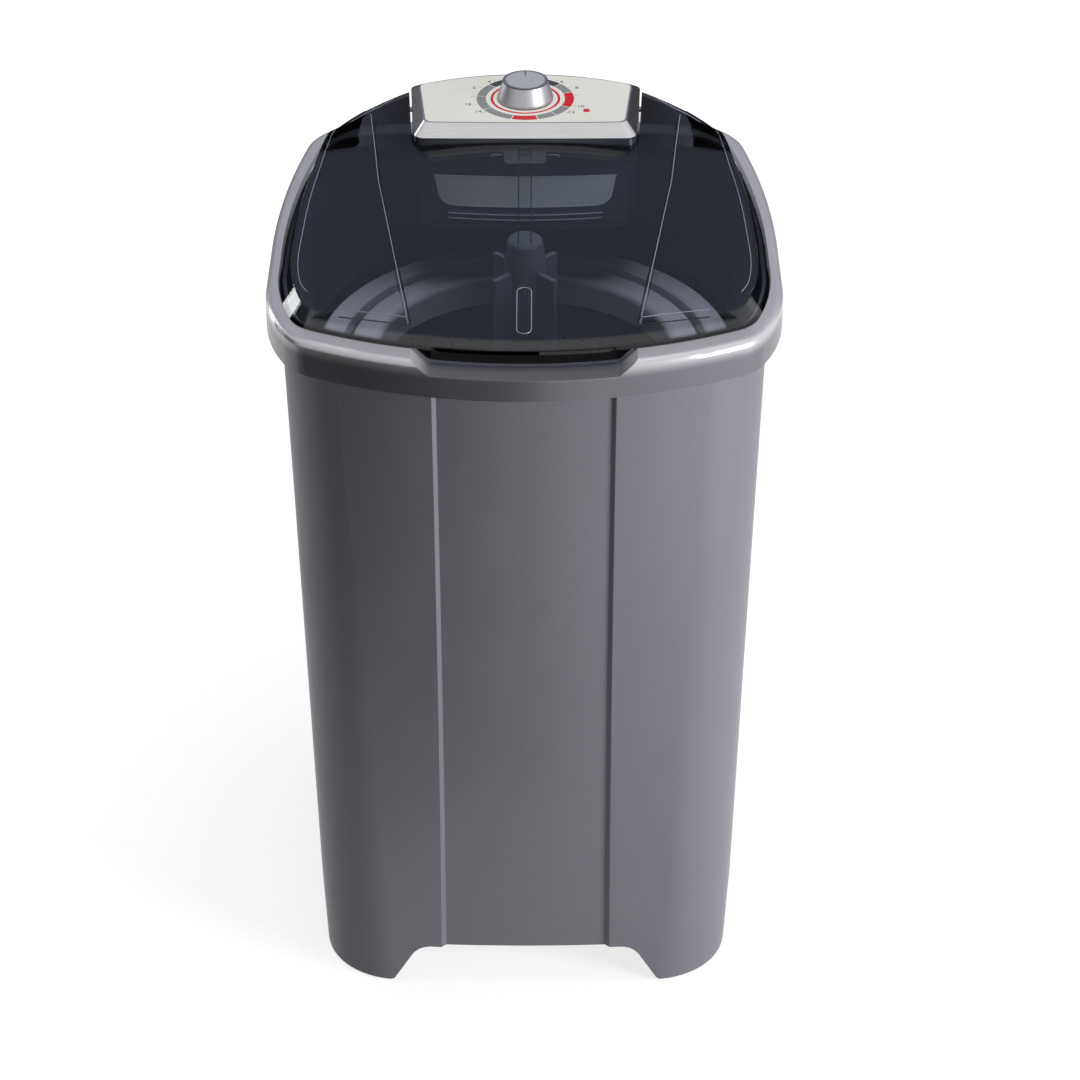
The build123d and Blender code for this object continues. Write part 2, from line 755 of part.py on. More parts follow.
def belt_loop(sink):
    """The belt's run round both pulleys, sunk below their rims, as a block."""
    with BuildPart() as loop:
        with BuildSketch(Plane.XY.offset(PULLEY_MIDDLE - BELT_WIDTH / 2)):
            with BuildLine():
                CenterArc((0, 0), DRIVEN_PULLEY_RADIUS - sink, 0, 360)
                CenterArc((0, MOTOR_DISTANCE), MOTOR_PULLEY_RADIUS - sink, 0, 360)
            make_hull()
        extrude(amount=BELT_WIDTH)
    return loop.part


lid_top_limit = LID_REAR_HEIGHT + WING_RISE + LID_TOP_CLEARANCE
cabinet_outside = cabinet_form(0)
cabinet_inside = cabinet_form(CABINET_WALL)
panel_floor = cabinet_form(PANEL_DEPTH)
panel_back = cabinet_form(PANEL_DEPTH + CABINET_WALL)
panel_cut = panel_wedge(0) - panel_floor
panel_rib = panel_wedge(CABINET_WALL) - panel_back
front_arch = arch_cut(FRONT_ARCH_HALF_WIDTH, Plane.XZ)
side_arch = arch_cut(SIDE_ARCH_HALF_WIDTH, Plane.YZ)

with BuildPart() as cabinet:
    add(cabinet_outside)
    add(panel_cut, mode=Mode.SUBTRACT)
    add(cabinet_inside - panel_rib, mode=Mode.SUBTRACT)
    add(front_arch, mode=Mode.SUBTRACT)
    add(side_arch, mode=Mode.SUBTRACT)
    add(rear_block(COVER_WIDTH - 2 * COVER_LAP, COVER_HEIGHT - 2 * COVER_LAP, COVER_CORNER),
        mode=Mode.SUBTRACT)
    add(cover_screws_form(SCREW_RADIUS, 0), mode=Mode.SUBTRACT)
    with BuildSketch(Plane.XZ.offset(-CABINET_TOP_PLAN.rear / 2)):
        with Locations((GLAND_SIDE, GLAND_HEIGHT)):
            Circle(GLAND_NECK)
    extrude(amount=-CABINET_TOP_PLAN.rear, mode=Mode.SUBTRACT)
cabinet.part.label = "cabinet"
export_step(cabinet.part, "parts/cabinet.step")

with BuildPart() as rim_hollow:
    extrude(plan_sketch(RIM_PLAN, RIM_BOTTOM, RIM_WALL), amount=RIM_TOP - RIM_WALL - RIM_BOTTOM)
    fillet(rim_hollow.edges().group_by(Axis.Z)[-1], RIM_ROLL - RIM_WALL)
    add(notch_block(RIM_WALL), mode=Mode.SUBTRACT)

with BuildPart() as rim_trim:
    extrude(plan_sketch(RIM_PLAN, RIM_BOTTOM), amount=RIM_TOP - RIM_BOTTOM)
    fillet(rim_trim.edges().group_by(Axis.Z)[-1], RIM_ROLL)
    add(plan_block(LID_PLAN, RIM_BOTTOM, RIM_TOP, LID_LAP), mode=Mode.SUBTRACT)
    add(notch_block(0), mode=Mode.SUBTRACT)
    add(rim_hollow.part, mode=Mode.SUBTRACT)
    add(row_of_holes(SCREW_RADIUS), mode=Mode.SUBTRACT)
rim_trim.part.label = "rim_trim"
export_step(rim_trim.part, "parts/rim_trim.step")

deck_inside = deck_well(DECK_WALL)
with BuildPart() as top_deck:
    add(deck_well(0))
    add(plan_block(RIM_PLAN, RIM_TOP - RIM_WALL - DECK_FLANGE, RIM_TOP - RIM_WALL,
                   RIM_ROLL))
    add(plan_block(CABINET_TOP_PLAN, CABINET_TOP, CABINET_TOP + DECK_FLANGE))
    add(deck_inside & plan_block(RIM_PLAN, DECK_FLOOR_HEIGHT + DECK_FLANGE, RIM_TOP),
        mode=Mode.SUBTRACT)
    with BuildSketch(Plane.XY.offset(DECK_FLOOR_HEIGHT)):
        Circle(DECK_HOLE_RADIUS)
    extrude(amount=DECK_FLANGE, mode=Mode.SUBTRACT)
    add(notch_block(RIM_WALL + FIT_GAP), mode=Mode.SUBTRACT)
    add(row_of_holes(SCREW_RADIUS), mode=Mode.SUBTRACT)
top_deck.part.label = "top_deck"
export_step(top_deck.part, "parts/top_deck.step")

lid_opening = console_plan(DECK_FLOOR_HEIGHT, CONSOLE_TOP_BELLY, LID_CONSOLE_GAP)
lid_inner = (lid_walls(LID_WALL) & lid_crown(LID_WALL)) + (
    lid_walls(LID_WALL) & lid_crown(LID_WALL - WING_RISE) & wing_blocks(LID_WALL))
lid_grip_bottom = LID_BOTTOM - LID_GRIP_DROP
lid_grip = (plan_block(LID_PLAN, lid_grip_bottom, LID_BOTTOM + LID_WALL)
            - plan_block(LID_PLAN, lid_grip_bottom, LID_BOTTOM + LID_WALL, LID_GRIP_THICKNESS))
tongue_strip = lid_crown(-TONGUE_RISE) - lid_crown(0)
with BuildPart() as lid:
    add(lid_walls(0) & lid_crown(0))
    add(lid_walls(0) & lid_crown(-WING_RISE) & wing_blocks(0))
    add(lid_inner, mode=Mode.SUBTRACT)
    with BuildSketch(Plane.XY.offset(lid_top_limit)):
        with Locations((0, (TONGUE_BACK + TONGUE_FRONT) / 2)):
            Rectangle(TONGUE_WIDTH, TONGUE_BACK - TONGUE_FRONT)
    tongue = extrude(amount=RIM_TOP - lid_top_limit, mode=Mode.PRIVATE)
    add(tongue & tongue_strip)
    with BuildSketch(Plane.XY.offset(RIM_BOTTOM)):
        with Locations((0, -LID_PLAN.front)):
            Rectangle(2 * LID_GRIP_HALF_WIDTH, LID_PLAN.front / 2)
    grip_part = extrude(amount=lid_top_limit - RIM_BOTTOM, mode=Mode.PRIVATE)
    add(grip_part & lid_grip)
    for side in (-1, 1):
        with BuildSketch(Plane.YZ.offset(side * HINGE_EAR_SIDE)):
            with Locations((HINGE_DEPTH, HINGE_HEIGHT)):
                Circle(HINGE_EAR_RADIUS)
                Rectangle(2 * HINGE_EAR_RADIUS, lid_top_limit - HINGE_HEIGHT,
                          align=(Align.CENTER, Align.MIN))
        ear = extrude(amount=side * HINGE_EAR_THICKNESS, mode=Mode.PRIVATE)
        add(ear & lid_crown(0))
    with BuildSketch(Plane.XY.offset(RIM_BOTTOM)):
        with Locations((0, LID_HEEL_DEPTH + LID_PLAN.rear)):
            Rectangle(2 * LID_SPAN, 2 * LID_PLAN.rear)
    extrude(amount=LID_HEEL_HEIGHT - RIM_BOTTOM, mode=Mode.SUBTRACT)
    extrude(lid_opening, amount=lid_top_limit - DECK_FLOOR_HEIGHT, mode=Mode.SUBTRACT)
    with BuildSketch(Plane.YZ):
        with Locations((HINGE_DEPTH, HINGE_HEIGHT)):
            Circle(HINGE_PIN_RADIUS + HINGE_RUNNING_GAP)
    extrude(amount=HINGE_EAR_SIDE + 2 * HINGE_EAR_THICKNESS, both=True, mode=Mode.SUBTRACT)
lid.part.label = "lid"
export_step(lid.part, "parts/lid.step")

lid_slope = (LID_MIDDLE_HEIGHT - LID_FRONT_HEIGHT) / (LID_MIDDLE_DEPTH + RIM_PLAN.front)
magnet_front = MAGNET_DEPTH - MAGNET_LENGTH
magnet_top = (LID_FRONT_HEIGHT - LID_WALL - MAGNET_CLEARANCE
              + (magnet_front + RIM_PLAN.front) * lid_slope)
with BuildPart() as lid_magnet:
    with BuildSketch(Plane.XY.offset(magnet_top)):
        with Locations((0, MAGNET_DEPTH - MAGNET_LENGTH / 2)):
            Rectangle(TONGUE_WIDTH, MAGNET_LENGTH)
    extrude(amount=-MAGNET_HEIGHT)
    chamfer(lid_magnet.edges().group_by(Axis.Z)[0], MAGNET_CHAMFER)
lid_magnet.part.label = "lid_magnet"
export_step(lid_magnet.part, "parts/lid_magnet.step")

console_outside = console_form(0)
console_inside = console_form(-CONSOLE_WALL)
rim_rear_seat = RIM_TOP + FIT_GAP
with BuildPart() as console_housing:
    add(console_outside)
    add(console_inside, mode=Mode.SUBTRACT)
    with BuildSketch(Plane.XY.offset(CONSOLE_BOTTOM)):
        with Locations((0, CONSOLE_STEP_DEPTH + CONSOLE_REAR)):
            Rectangle(4 * CONSOLE_REAR_HALF_WIDTH, 2 * CONSOLE_REAR)
    extrude(amount=rim_rear_seat - CONSOLE_BOTTOM, mode=Mode.SUBTRACT)
    add(fascia_block(0), mode=Mode.SUBTRACT)
    for side in (-1, 1):
        with BuildSketch(Plane.YZ.offset(side * (HINGE_EAR_SIDE - CONSOLE_WALL - HINGE_BOSS_LENGTH))):
            with Locations((HINGE_DEPTH, HINGE_HEIGHT)):
                Circle(HINGE_BOSS_RADIUS)
        hinge_boss = extrude(amount=side * 2 * HINGE_BOSS_LENGTH, mode=Mode.PRIVATE)
        add(hinge_boss & console_outside)
    with BuildSketch(Plane.YZ):
        with Locations((HINGE_DEPTH, HINGE_HEIGHT)):
            Circle(HINGE_PIN_RADIUS)
    extrude(amount=CONSOLE_REAR_HALF_WIDTH, both=True, mode=Mode.SUBTRACT)
console_housing.part.label = "console_housing"
export_step(console_housing.part, "parts/console_housing.step")

with BuildPart() as hinge_pins:
    for side in (-1, 1):
        with BuildSketch(Plane.YZ.offset(side * (HINGE_EAR_SIDE - CONSOLE_WALL - HINGE_BOSS_LENGTH))):
            with Locations((HINGE_DEPTH, HINGE_HEIGHT)):
                Circle(HINGE_PIN_RADIUS)
        extrude(amount=side * (CONSOLE_WALL + HINGE_BOSS_LENGTH + HINGE_EAR_THICKNESS + 1))
hinge_pins.part.label = "hinge_pins"
export_step(hinge_pins.part, "parts/hinge_pins.step")

base_shell = console_form(-CONSOLE_WALL - FIT_GAP)
with BuildPart() as console_base:
    with BuildSketch(Plane.YZ):
        with BuildLine():
            Polyline((0, CONSOLE_BOTTOM), (CONSOLE_STEP_DEPTH, CONSOLE_BOTTOM),
                     (CONSOLE_STEP_DEPTH, rim_rear_seat), (CONSOLE_REAR, rim_rear_seat),
                     (CONSOLE_REAR, rim_rear_seat + CONSOLE_WALL),
                     (CONSOLE_STEP_DEPTH - CONSOLE_WALL, rim_rear_seat + CONSOLE_WALL),
                     (CONSOLE_STEP_DEPTH - CONSOLE_WALL, CONSOLE_BOTTOM + CONSOLE_WALL),
                     (0, CONSOLE_BOTTOM + CONSOLE_WALL), close=True)
        make_face()
    base_bend = extrude(amount=CONSOLE_REAR_HALF_WIDTH, both=True, mode=Mode.PRIVATE)
    add(base_bend & base_shell)
    with BuildSketch(Plane.XY.offset(CONSOLE_BOTTOM + CONSOLE_WALL)):
        with Locations((-RAIL_SIDE, RAIL_DEPTH), (RAIL_SIDE, RAIL_DEPTH)):
            Rectangle(RAIL_WIDTH, RAIL_LENGTH)
    extrude(amount=FILTER_BOX_BOTTOM - FIT_GAP - CONSOLE_BOTTOM - CONSOLE_WALL)
    with BuildSketch(Plane.XY.offset(rim_rear_seat + CONSOLE_WALL)):
        with Locations((0, CONSOLE_SCREW_DEPTH)):
            with GridLocations(CONSOLE_SCREW_SPACING, 1, CONSOLE_SCREW_COUNT, 1):
                Circle(SCREW_HEAD_RADIUS)
    extrude(amount=SCREW_LENGTH)
    add(row_of_holes(SCREW_RADIUS), mode=Mode.SUBTRACT)
console_base.part.label = "console_base"
export_step(console_base.part, "parts/console_base.step")

console_screw_top = rim_rear_seat + CONSOLE_WALL + SCREW_LENGTH - 1
flange_underside = RIM_TOP - RIM_WALL - DECK_FLANGE
with BuildPart() as console_screws:
    with Locations((0, CONSOLE_SCREW_DEPTH, flange_underside)):
        with GridLocations(CONSOLE_SCREW_SPACING, 1, CONSOLE_SCREW_COUNT, 1):
            Cylinder(SCREW_HEAD_RADIUS, SCREW_HEAD_HEIGHT, align=DOWNWARD)
            Cylinder(SCREW_RADIUS, console_screw_top - flange_underside, align=UPWARD)
console_screws.part.label = "console_screws"
export_step(console_screws.part, "parts/console_screws.step")

panel_seat = BEZEL_TOP - PANEL_PLATE_THICKNESS
with BuildPart() as console_bezel:
    loft([console_plan(CONSOLE_TOP, CONSOLE_TOP_BELLY), face_plan(BEZEL_TOP, 0)], ruled=True)
    loft([console_plan(CONSOLE_TOP, CONSOLE_TOP_BELLY, -CONSOLE_WALL),
          face_plan(BEZEL_TOP - CONSOLE_WALL, CONSOLE_WALL)], ruled=True, mode=Mode.SUBTRACT)
    extrude(face_plan(panel_seat, PANEL_PLATE_INSET), amount=PANEL_PLATE_THICKNESS, mode=Mode.SUBTRACT)
    with BuildSketch(Plane.XY.offset(CONSOLE_TOP)):
        with Locations((0, KNOB_DEPTH)):
            Circle(TIMER_NECK_RADIUS + FIT_GAP)
        with Locations(LAMP_PLACE):
            Circle(LAMP_RADIUS)
    extrude(amount=BEZEL_TOP - CONSOLE_TOP, mode=Mode.SUBTRACT)
console_bezel.part.label = "console_bezel"
export_step(console_bezel.part, "parts/console_bezel.step")

with BuildPart() as control_panel:
    extrude(face_plan(panel_seat, PANEL_PLATE_INSET), amount=PANEL_PLATE_THICKNESS)
    with BuildSketch(Plane.XY.offset(panel_seat)):
        with Locations((0, KNOB_DEPTH)):
            Circle(TIMER_NECK_RADIUS + FIT_GAP)
        with Locations(LAMP_PLACE):
            Circle(LAMP_RADIUS)
    extrude(amount=PANEL_PLATE_THICKNESS, mode=Mode.SUBTRACT)
control_panel.part.label = "control_panel"
export_step(control_panel.part, "parts/control_panel.step")

with BuildPart() as indicator_lamp:
    with Locations((LAMP_PLACE[0], LAMP_PLACE[1], BEZEL_TOP - CONSOLE_WALL - LAMP_TAIL)):
        Cylinder(LAMP_RADIUS, CONSOLE_WALL + LAMP_TAIL + LAMP_RISE, align=UPWARD)
    fillet(indicator_lamp.edges().sort_by(Axis.Z)[-1], LAMP_RISE)
indicator_lamp.part.label = "indicator_lamp"
export_step(indicator_lamp.part, "parts/indicator_lamp.step")

timer_seat = BEZEL_TOP - CONSOLE_WALL
with BuildPart() as timer_body:
    with Locations((0, KNOB_DEPTH, timer_seat)):
        Box(TIMER_WIDTH + 2 * TIMER_PLATE_EAR, TIMER_WIDTH, TIMER_PLATE, align=DOWNWARD)
    with Locations((0, KNOB_DEPTH, timer_seat - TIMER_PLATE)):
        Box(TIMER_WIDTH, TIMER_WIDTH, TIMER_HEIGHT, align=DOWNWARD)
    fillet(timer_body.edges().filter_by(Axis.Z), TIMER_CORNER)
    with Locations((0, KNOB_DEPTH, timer_seat)):
        Cylinder(TIMER_NECK_RADIUS, CONSOLE_WALL, align=UPWARD)
        Cylinder(TIMER_SHAFT_RADIUS + RUNNING_GAP, CONSOLE_WALL + TIMER_HEIGHT,
                 align=(Align.CENTER, Align.CENTER, Align.CENTER), mode=Mode.SUBTRACT)
timer_body.part.label = "timer_body"
export_step(timer_body.part, "parts/timer_body.step")

knob_base = BEZEL_TOP + KNOB_LIFT
knob_roof = KNOB_TOP - KNOB_CAP_DEPTH - 2 * KNOB_RIM
with BuildPart() as timer_shaft:
    with Locations((0, KNOB_DEPTH, timer_seat - TIMER_HEIGHT / 3)):
        Cylinder(TIMER_SHAFT_RADIUS, knob_roof - timer_seat + TIMER_HEIGHT / 3, align=UPWARD)
timer_shaft.part.label = "timer_shaft"
export_step(timer_shaft.part, "parts/timer_shaft.step")

with BuildPart() as timer_knob:
    with BuildSketch(Plane.XZ.offset(-KNOB_DEPTH)) as knob_section:
        with BuildLine():
            Polyline((TIMER_SHAFT_RADIUS, knob_base), (KNOB_HUB_RADIUS, knob_base),
                     (KNOB_HUB_RADIUS, knob_roof), (KNOB_TOP_RADIUS - 2 * KNOB_RIM, knob_roof),
                     (KNOB_BASE_RADIUS - KNOB_RIM, knob_base), (KNOB_BASE_RADIUS, knob_base),
                     (KNOB_BASE_RADIUS, knob_base + KNOB_FOOT), (KNOB_TOP_RADIUS, KNOB_TOP),
                     (KNOB_CAP_RADIUS, KNOB_TOP), (KNOB_CAP_RADIUS, KNOB_TOP - KNOB_CAP_DEPTH),
                     (0, KNOB_TOP - KNOB_CAP_DEPTH), (0, knob_roof), (TIMER_SHAFT_RADIUS, knob_roof),
                     close=True)
        make_face()
    revolve(axis=Axis((0, KNOB_DEPTH, 0), (0, 0, 1)))
timer_knob.part.label = "timer_knob"
export_step(timer_knob.part, "parts/timer_knob.step")

with BuildPart() as knob_cap:
    with BuildSketch(Plane.XY.offset(KNOB_TOP - KNOB_CAP_DEPTH)):
        with Locations((0, KNOB_DEPTH)):
            Circle(KNOB_CAP_RADIUS)
        with Locations((0, KNOB_DEPTH + KNOB_CAP_RADIUS)):
            Rectangle(KNOB_TICK_WIDTH, KNOB_CAP_RADIUS, mode=Mode.SUBTRACT)
    extrude(amount=KNOB_CAP_DEPTH)
knob_cap.part.label = "knob_cap"
export_step(knob_cap.part, "parts/knob_cap.step")

switch_top = FASCIA_TOP + FIT_GAP + SWITCH_HEIGHT
wall_bulge = (CONSOLE_TOP_BELLY + (CONSOLE_BELLY - CONSOLE_TOP_BELLY)
              * (CONSOLE_TOP - switch_top) / (CONSOLE_TOP - CONSOLE_BOTTOM))
switch_wall = CONSOLE_FRONT + CONSOLE_WALL + FIT_GAP - wall_bulge
with BuildPart() as lid_switch:
    with Locations((0, switch_wall, FASCIA_TOP + FIT_GAP)):
        Box(SWITCH_WIDTH, SWITCH_LENGTH, SWITCH_HEIGHT, align=(Align.CENTER, Align.MIN, Align.MIN))
    fillet(lid_switch.edges().filter_by(Axis.Z), SWITCH_CORNER)
lid_switch.part.label = "lid_switch"
export_step(lid_switch.part, "parts/lid_switch.step")

lip_outside = console_form(LIP_REACH) - console_outside
fascia_skin = console_outside - console_inside
box_reach = CONSOLE_FRONT + FILTER_BOX_LENGTH
box_inner_half = FILTER_BOX_HALF_WIDTH - FILTER_BOX_WALL
with BuildPart() as filter_cartridge:
    add(fascia_skin & fascia_block(-FIT_GAP))
    add(lip_outside & front_block([(-LIP_HALF_WIDTH, LIP_BOTTOM), (LIP_HALF_WIDTH, LIP_BOTTOM),
                                   (LIP_HALF_WIDTH, LIP_TOP), (-LIP_HALF_WIDTH, LIP_TOP)],
                                  0, CONSOLE_FRONT))
    add(console_form(-CONSOLE_WALL / 2)
        & front_block([(-FILTER_BOX_HALF_WIDTH, FILTER_BOX_BOTTOM),
                       (FILTER_BOX_HALF_WIDTH, FILTER_BOX_BOTTOM),
                       (FILTER_BOX_HALF_WIDTH, FILTER_BOX_TOP),
                       (-FILTER_BOX_HALF_WIDTH, FILTER_BOX_TOP)], 0, box_reach))
    add(console_inside
        & front_block([(-box_inner_half, FILTER_BOX_BOTTOM + FILTER_BOX_WALL),
                       (box_inner_half, FILTER_BOX_BOTTOM + FILTER_BOX_WALL),
                       (box_inner_half, FILTER_BOX_TOP), (-box_inner_half, FILTER_BOX_TOP)],
                      0, box_reach - FILTER_BOX_WALL), mode=Mode.SUBTRACT)
    add(window_block(0), mode=Mode.SUBTRACT)
filter_cartridge.part.label = "filter_cartridge"
export_step(filter_cartridge.part, "parts/filter_cartridge.step")

with BuildPart() as filter_window:
    add((console_outside - console_form(-WINDOW_THICKNESS)) & window_block(0))
filter_window.part.label = "filter_window"
export_step(filter_window.part, "parts/filter_window.step")

with BuildPart() as filter_tab:
    add((console_form(TAB_REACH) - console_form(FIT_GAP))
        & front_block([(TAB_CORNER - TAB_HALF_WIDTH, TAB_BOTTOM),
                       (TAB_HALF_WIDTH - TAB_CORNER, TAB_BOTTOM),
                       (TAB_HALF_WIDTH, TAB_BOTTOM + TAB_CORNER), (TAB_HALF_WIDTH, TAB_TOP),
                       (-TAB_HALF_WIDTH, TAB_TOP), (-TAB_HALF_WIDTH, TAB_BOTTOM + TAB_CORNER)],
                      0, CONSOLE_FRONT))
filter_tab.part.label = "filter_tab"
export_step(filter_tab.part, "parts/filter_tab.step")

with BuildPart() as rear_cover:
    add((cabinet_form(-COVER_THICKNESS) - cabinet_outside)
        & rear_block(COVER_WIDTH, COVER_HEIGHT, COVER_CORNER))
    add(cover_screws_form(SCREW_RADIUS, 0), mode=Mode.SUBTRACT)
rear_cover.part.label = "rear_cover"
export_step(rear_cover.part, "parts/rear_cover.step")

with BuildPart() as rear_cover_screws:
    add(cover_screws_form(SCREW_RADIUS, 0))
    add(cover_screws_form(SCREW_HEAD_RADIUS, SCREW_HEAD_HEIGHT + FIT_GAP)
        - cabinet_form(-COVER_THICKNESS - FIT_GAP))
rear_cover_screws.part.label = "rear_cover_screws"
export_step(rear_cover_screws.part, "parts/rear_cover_screws.step")

corner_places = [(side * ROD_SIDE, depth * ROD_DEPTH) for side in (-1, 1) for depth in (-1, 1)]
rod_circle = sqrt(ROD_SIDE**2 + ROD_DEPTH**2)
rib_bottom = TUB_FLOOR - TUB_RIB_HEIGHT
tub_outside = turned([(0, TUB_FLOOR), (TUB_FLOOR_RADIUS, TUB_FLOOR), (TUB_TOP_RADIUS, TUB_TOP),
                      (0, TUB_TOP)], [(TUB_FLOOR_RADIUS, TUB_FLOOR)], TUB_CORNER)
tub_inside_floor = TUB_FLOOR + TUB_FLOOR_THICKNESS
tub_inside = turned([(0, tub_inside_floor), (TUB_FLOOR_RADIUS - TUB_WALL, tub_inside_floor),
                     (TUB_TOP_RADIUS - TUB_WALL, TUB_TOP), (0, TUB_TOP)],
                    [(TUB_FLOOR_RADIUS - TUB_WALL, tub_inside_floor)], TUB_CORNER - TUB_WALL)
motor_bolt_places = [(side * MOTOR_BOLT_SIDE, depth) for side in (-1, 1)
                     for depth in (MOTOR_BOLT_FRONT, MOTOR_BOLT_REAR)]
rib_length = TUB_FLOOR_RADIUS - TUB_CORNER - HOUSING_FLANGE_RADIUS
ear_arm = rod_circle - TUB_FLOOR_RADIUS + TUB_CORNER
with BuildPart() as outer_tub:
    add(tub_outside)
    for place in corner_places:
        outward = degrees(atan2(place[1], place[0]))
        with BuildSketch(Plane.XY.offset(TUB_FLOOR)):
            with Locations(place):
                Circle(EAR_WIDTH / 2)
            with Locations(Location((place[0], place[1], 0), (0, 0, outward))):
                Rectangle(ear_arm, EAR_WIDTH, align=(Align.MAX, Align.CENTER))
        extrude(amount=EAR_THICKNESS)
        with Locations(Location((place[0], place[1], TUB_FLOOR), (0, 0, outward))):
            with Locations((-SLEEVE_RADIUS - 1, 0, 0)):
                Box(ear_arm - SLEEVE_RADIUS, TUB_RIB_THICKNESS, TUB_RIB_HEIGHT,
                    align=(Align.MAX, Align.CENTER, Align.MAX))
    with PolarLocations(HOUSING_FLANGE_RADIUS + rib_length / 2, TUB_RIB_COUNT):
        with Locations((0, 0, TUB_FLOOR)):
            Box(rib_length, TUB_RIB_THICKNESS, TUB_RIB_HEIGHT, align=DOWNWARD)
    with BuildSketch(Plane.XY.offset(TUB_FLOOR)):
        with Locations(*motor_bolt_places):
            Circle(2 * MOTOR_BOLT_RADIUS)
    extrude(amount=-TUB_RIB_HEIGHT)
    with BuildSketch(Plane.XY.offset(TUB_FLOOR)):
        with Locations((DRAIN_SIDE, DRAIN_DEPTH)):
            Circle(DRAIN_RADIUS)
    extrude(amount=-DRAIN_OUTLET_LENGTH)
    add(tub_inside, mode=Mode.SUBTRACT)
    with BuildSketch(Plane.XY.offset(TUB_FLOOR)):
        Circle(HOUSING_RADIUS)
        with Locations(*corner_places):
            Circle(ROD_RADIUS + ROD_CLEARANCE)
    extrude(amount=EAR_THICKNESS, mode=Mode.SUBTRACT)
    with BuildSketch(Plane.XY.offset(tub_inside_floor)):
        with Locations((DRAIN_SIDE, DRAIN_DEPTH)):
            Circle(DRAIN_RADIUS - DRAIN_WALL)
    extrude(amount=-TUB_FLOOR, mode=Mode.SUBTRACT)
    with BuildSketch(Plane.XY.offset(rib_bottom)):
        with Locations(*motor_bolt_places):
            Circle(MOTOR_BOLT_RADIUS)
    extrude(amount=MOTOR_BOLT_GRIP, mode=Mode.SUBTRACT)
outer_tub.part.label = "outer_tub"
export_step(outer_tub.part, "parts/outer_tub.step")

with BuildPart() as tub_ring:
    add(turned([(RING_INNER_RADIUS, TUB_TOP - RING_SKIRT), (RING_INNER_RADIUS, RING_TOP - RING_WALL),
                (RING_INNER_RADIUS + RING_WALL, RING_TOP), (RING_OUTER_RADIUS - RING_WALL, RING_TOP),
                (RING_OUTER_RADIUS, RING_TOP - RING_WALL), (RING_OUTER_RADIUS, TUB_TOP - RING_SKIRT),
                (TUB_TOP_RADIUS + FIT_GAP, TUB_TOP - RING_SKIRT), (TUB_TOP_RADIUS + FIT_GAP, TUB_TOP),
                (TUB_TOP_RADIUS - TUB_WALL, TUB_TOP), (TUB_TOP_RADIUS - TUB_WALL, RING_TOP - RING_WALL),
                (RING_INNER_RADIUS + RING_WALL, RING_TOP - RING_WALL),
                (RING_INNER_RADIUS + RING_WALL, TUB_TOP - RING_SKIRT)]))
tub_ring.part.label = "tub_ring"
export_step(tub_ring.part, "parts/tub_ring.step")

basket_seam = BASKET_FLOOR + BASKET_CORNER
basket_outside = turned([(0, BASKET_FLOOR), (BASKET_RADIUS, BASKET_FLOOR), (BASKET_RADIUS, BASKET_TOP),
                         (0, BASKET_TOP)], [(BASKET_RADIUS, BASKET_FLOOR)], BASKET_CORNER)
basket_inner_radius = BASKET_RADIUS - BASKET_WALL
basket_inside_floor = BASKET_FLOOR + BASKET_WALL
basket_inside = turned([(0, basket_inside_floor), (basket_inner_radius, basket_inside_floor),
                        (basket_inner_radius, BASKET_TOP), (0, BASKET_TOP)],
                       [(basket_inner_radius, basket_inside_floor)], BASKET_CORNER - BASKET_WALL)
with BuildPart() as spin_basket:
    add(tube(BASKET_RADIUS, basket_inner_radius, basket_seam, BASKET_TOP))
    for row in range(BASKET_HOLE_ROWS):
        turn = 180 / BASKET_HOLE_COLUMNS * (row % 2)
        with PolarLocations(BASKET_RADIUS, BASKET_HOLE_COLUMNS, start_angle=turn):
            with Locations(Location((0, 0, BASKET_HOLE_LOW + row * BASKET_HOLE_STEP), (0, 90, 0))):
                Cylinder(BASKET_HOLE_RADIUS, 6 * BASKET_WALL, mode=Mode.SUBTRACT)
spin_basket.part.label = "spin_basket"
export_step(spin_basket.part, "parts/spin_basket.step")

with BuildPart() as basket_floor:
    add(basket_outside - basket_inside - tube(2 * BASKET_RADIUS, 0, basket_seam, BASKET_TOP))
    add(turned([(basket_inner_radius, basket_seam - 2 * BASKET_BEAD),
                (BASKET_RADIUS, basket_seam - 2 * BASKET_BEAD),
                (BASKET_RADIUS + BASKET_BEAD, basket_seam - BASKET_BEAD),
                (BASKET_RADIUS, basket_seam), (basket_inner_radius, basket_seam)]))
    with BuildSketch(Plane.XY.offset(BASKET_FLOOR)):
        Circle(SPIN_TUBE_RADIUS)
        with PolarLocations(HUB_SCREW_CIRCLE, HUB_SCREW_COUNT):
            Circle(SCREW_RADIUS)
    extrude(amount=2 * BASKET_WALL, mode=Mode.SUBTRACT)
basket_floor.part.label = "basket_floor"
export_step(basket_floor.part, "parts/basket_floor.step")

with BuildPart() as balance_ring:
    with BuildSketch(Plane.XZ) as ring_section:
        with Locations(((BALANCE_INNER_RADIUS + BALANCE_OUTER_RADIUS) / 2, BASKET_TOP)):
            Rectangle(BALANCE_OUTER_RADIUS - BALANCE_INNER_RADIUS, BALANCE_TOP - BASKET_TOP,
                      align=(Align.CENTER, Align.MIN))
        fillet(ring_section.vertices().group_by(Axis.Y)[-1], BALANCE_ROUND)
    revolve(axis=Axis.Z)
balance_ring.part.label = "balance_ring"
export_step(balance_ring.part, "parts/balance_ring.step")

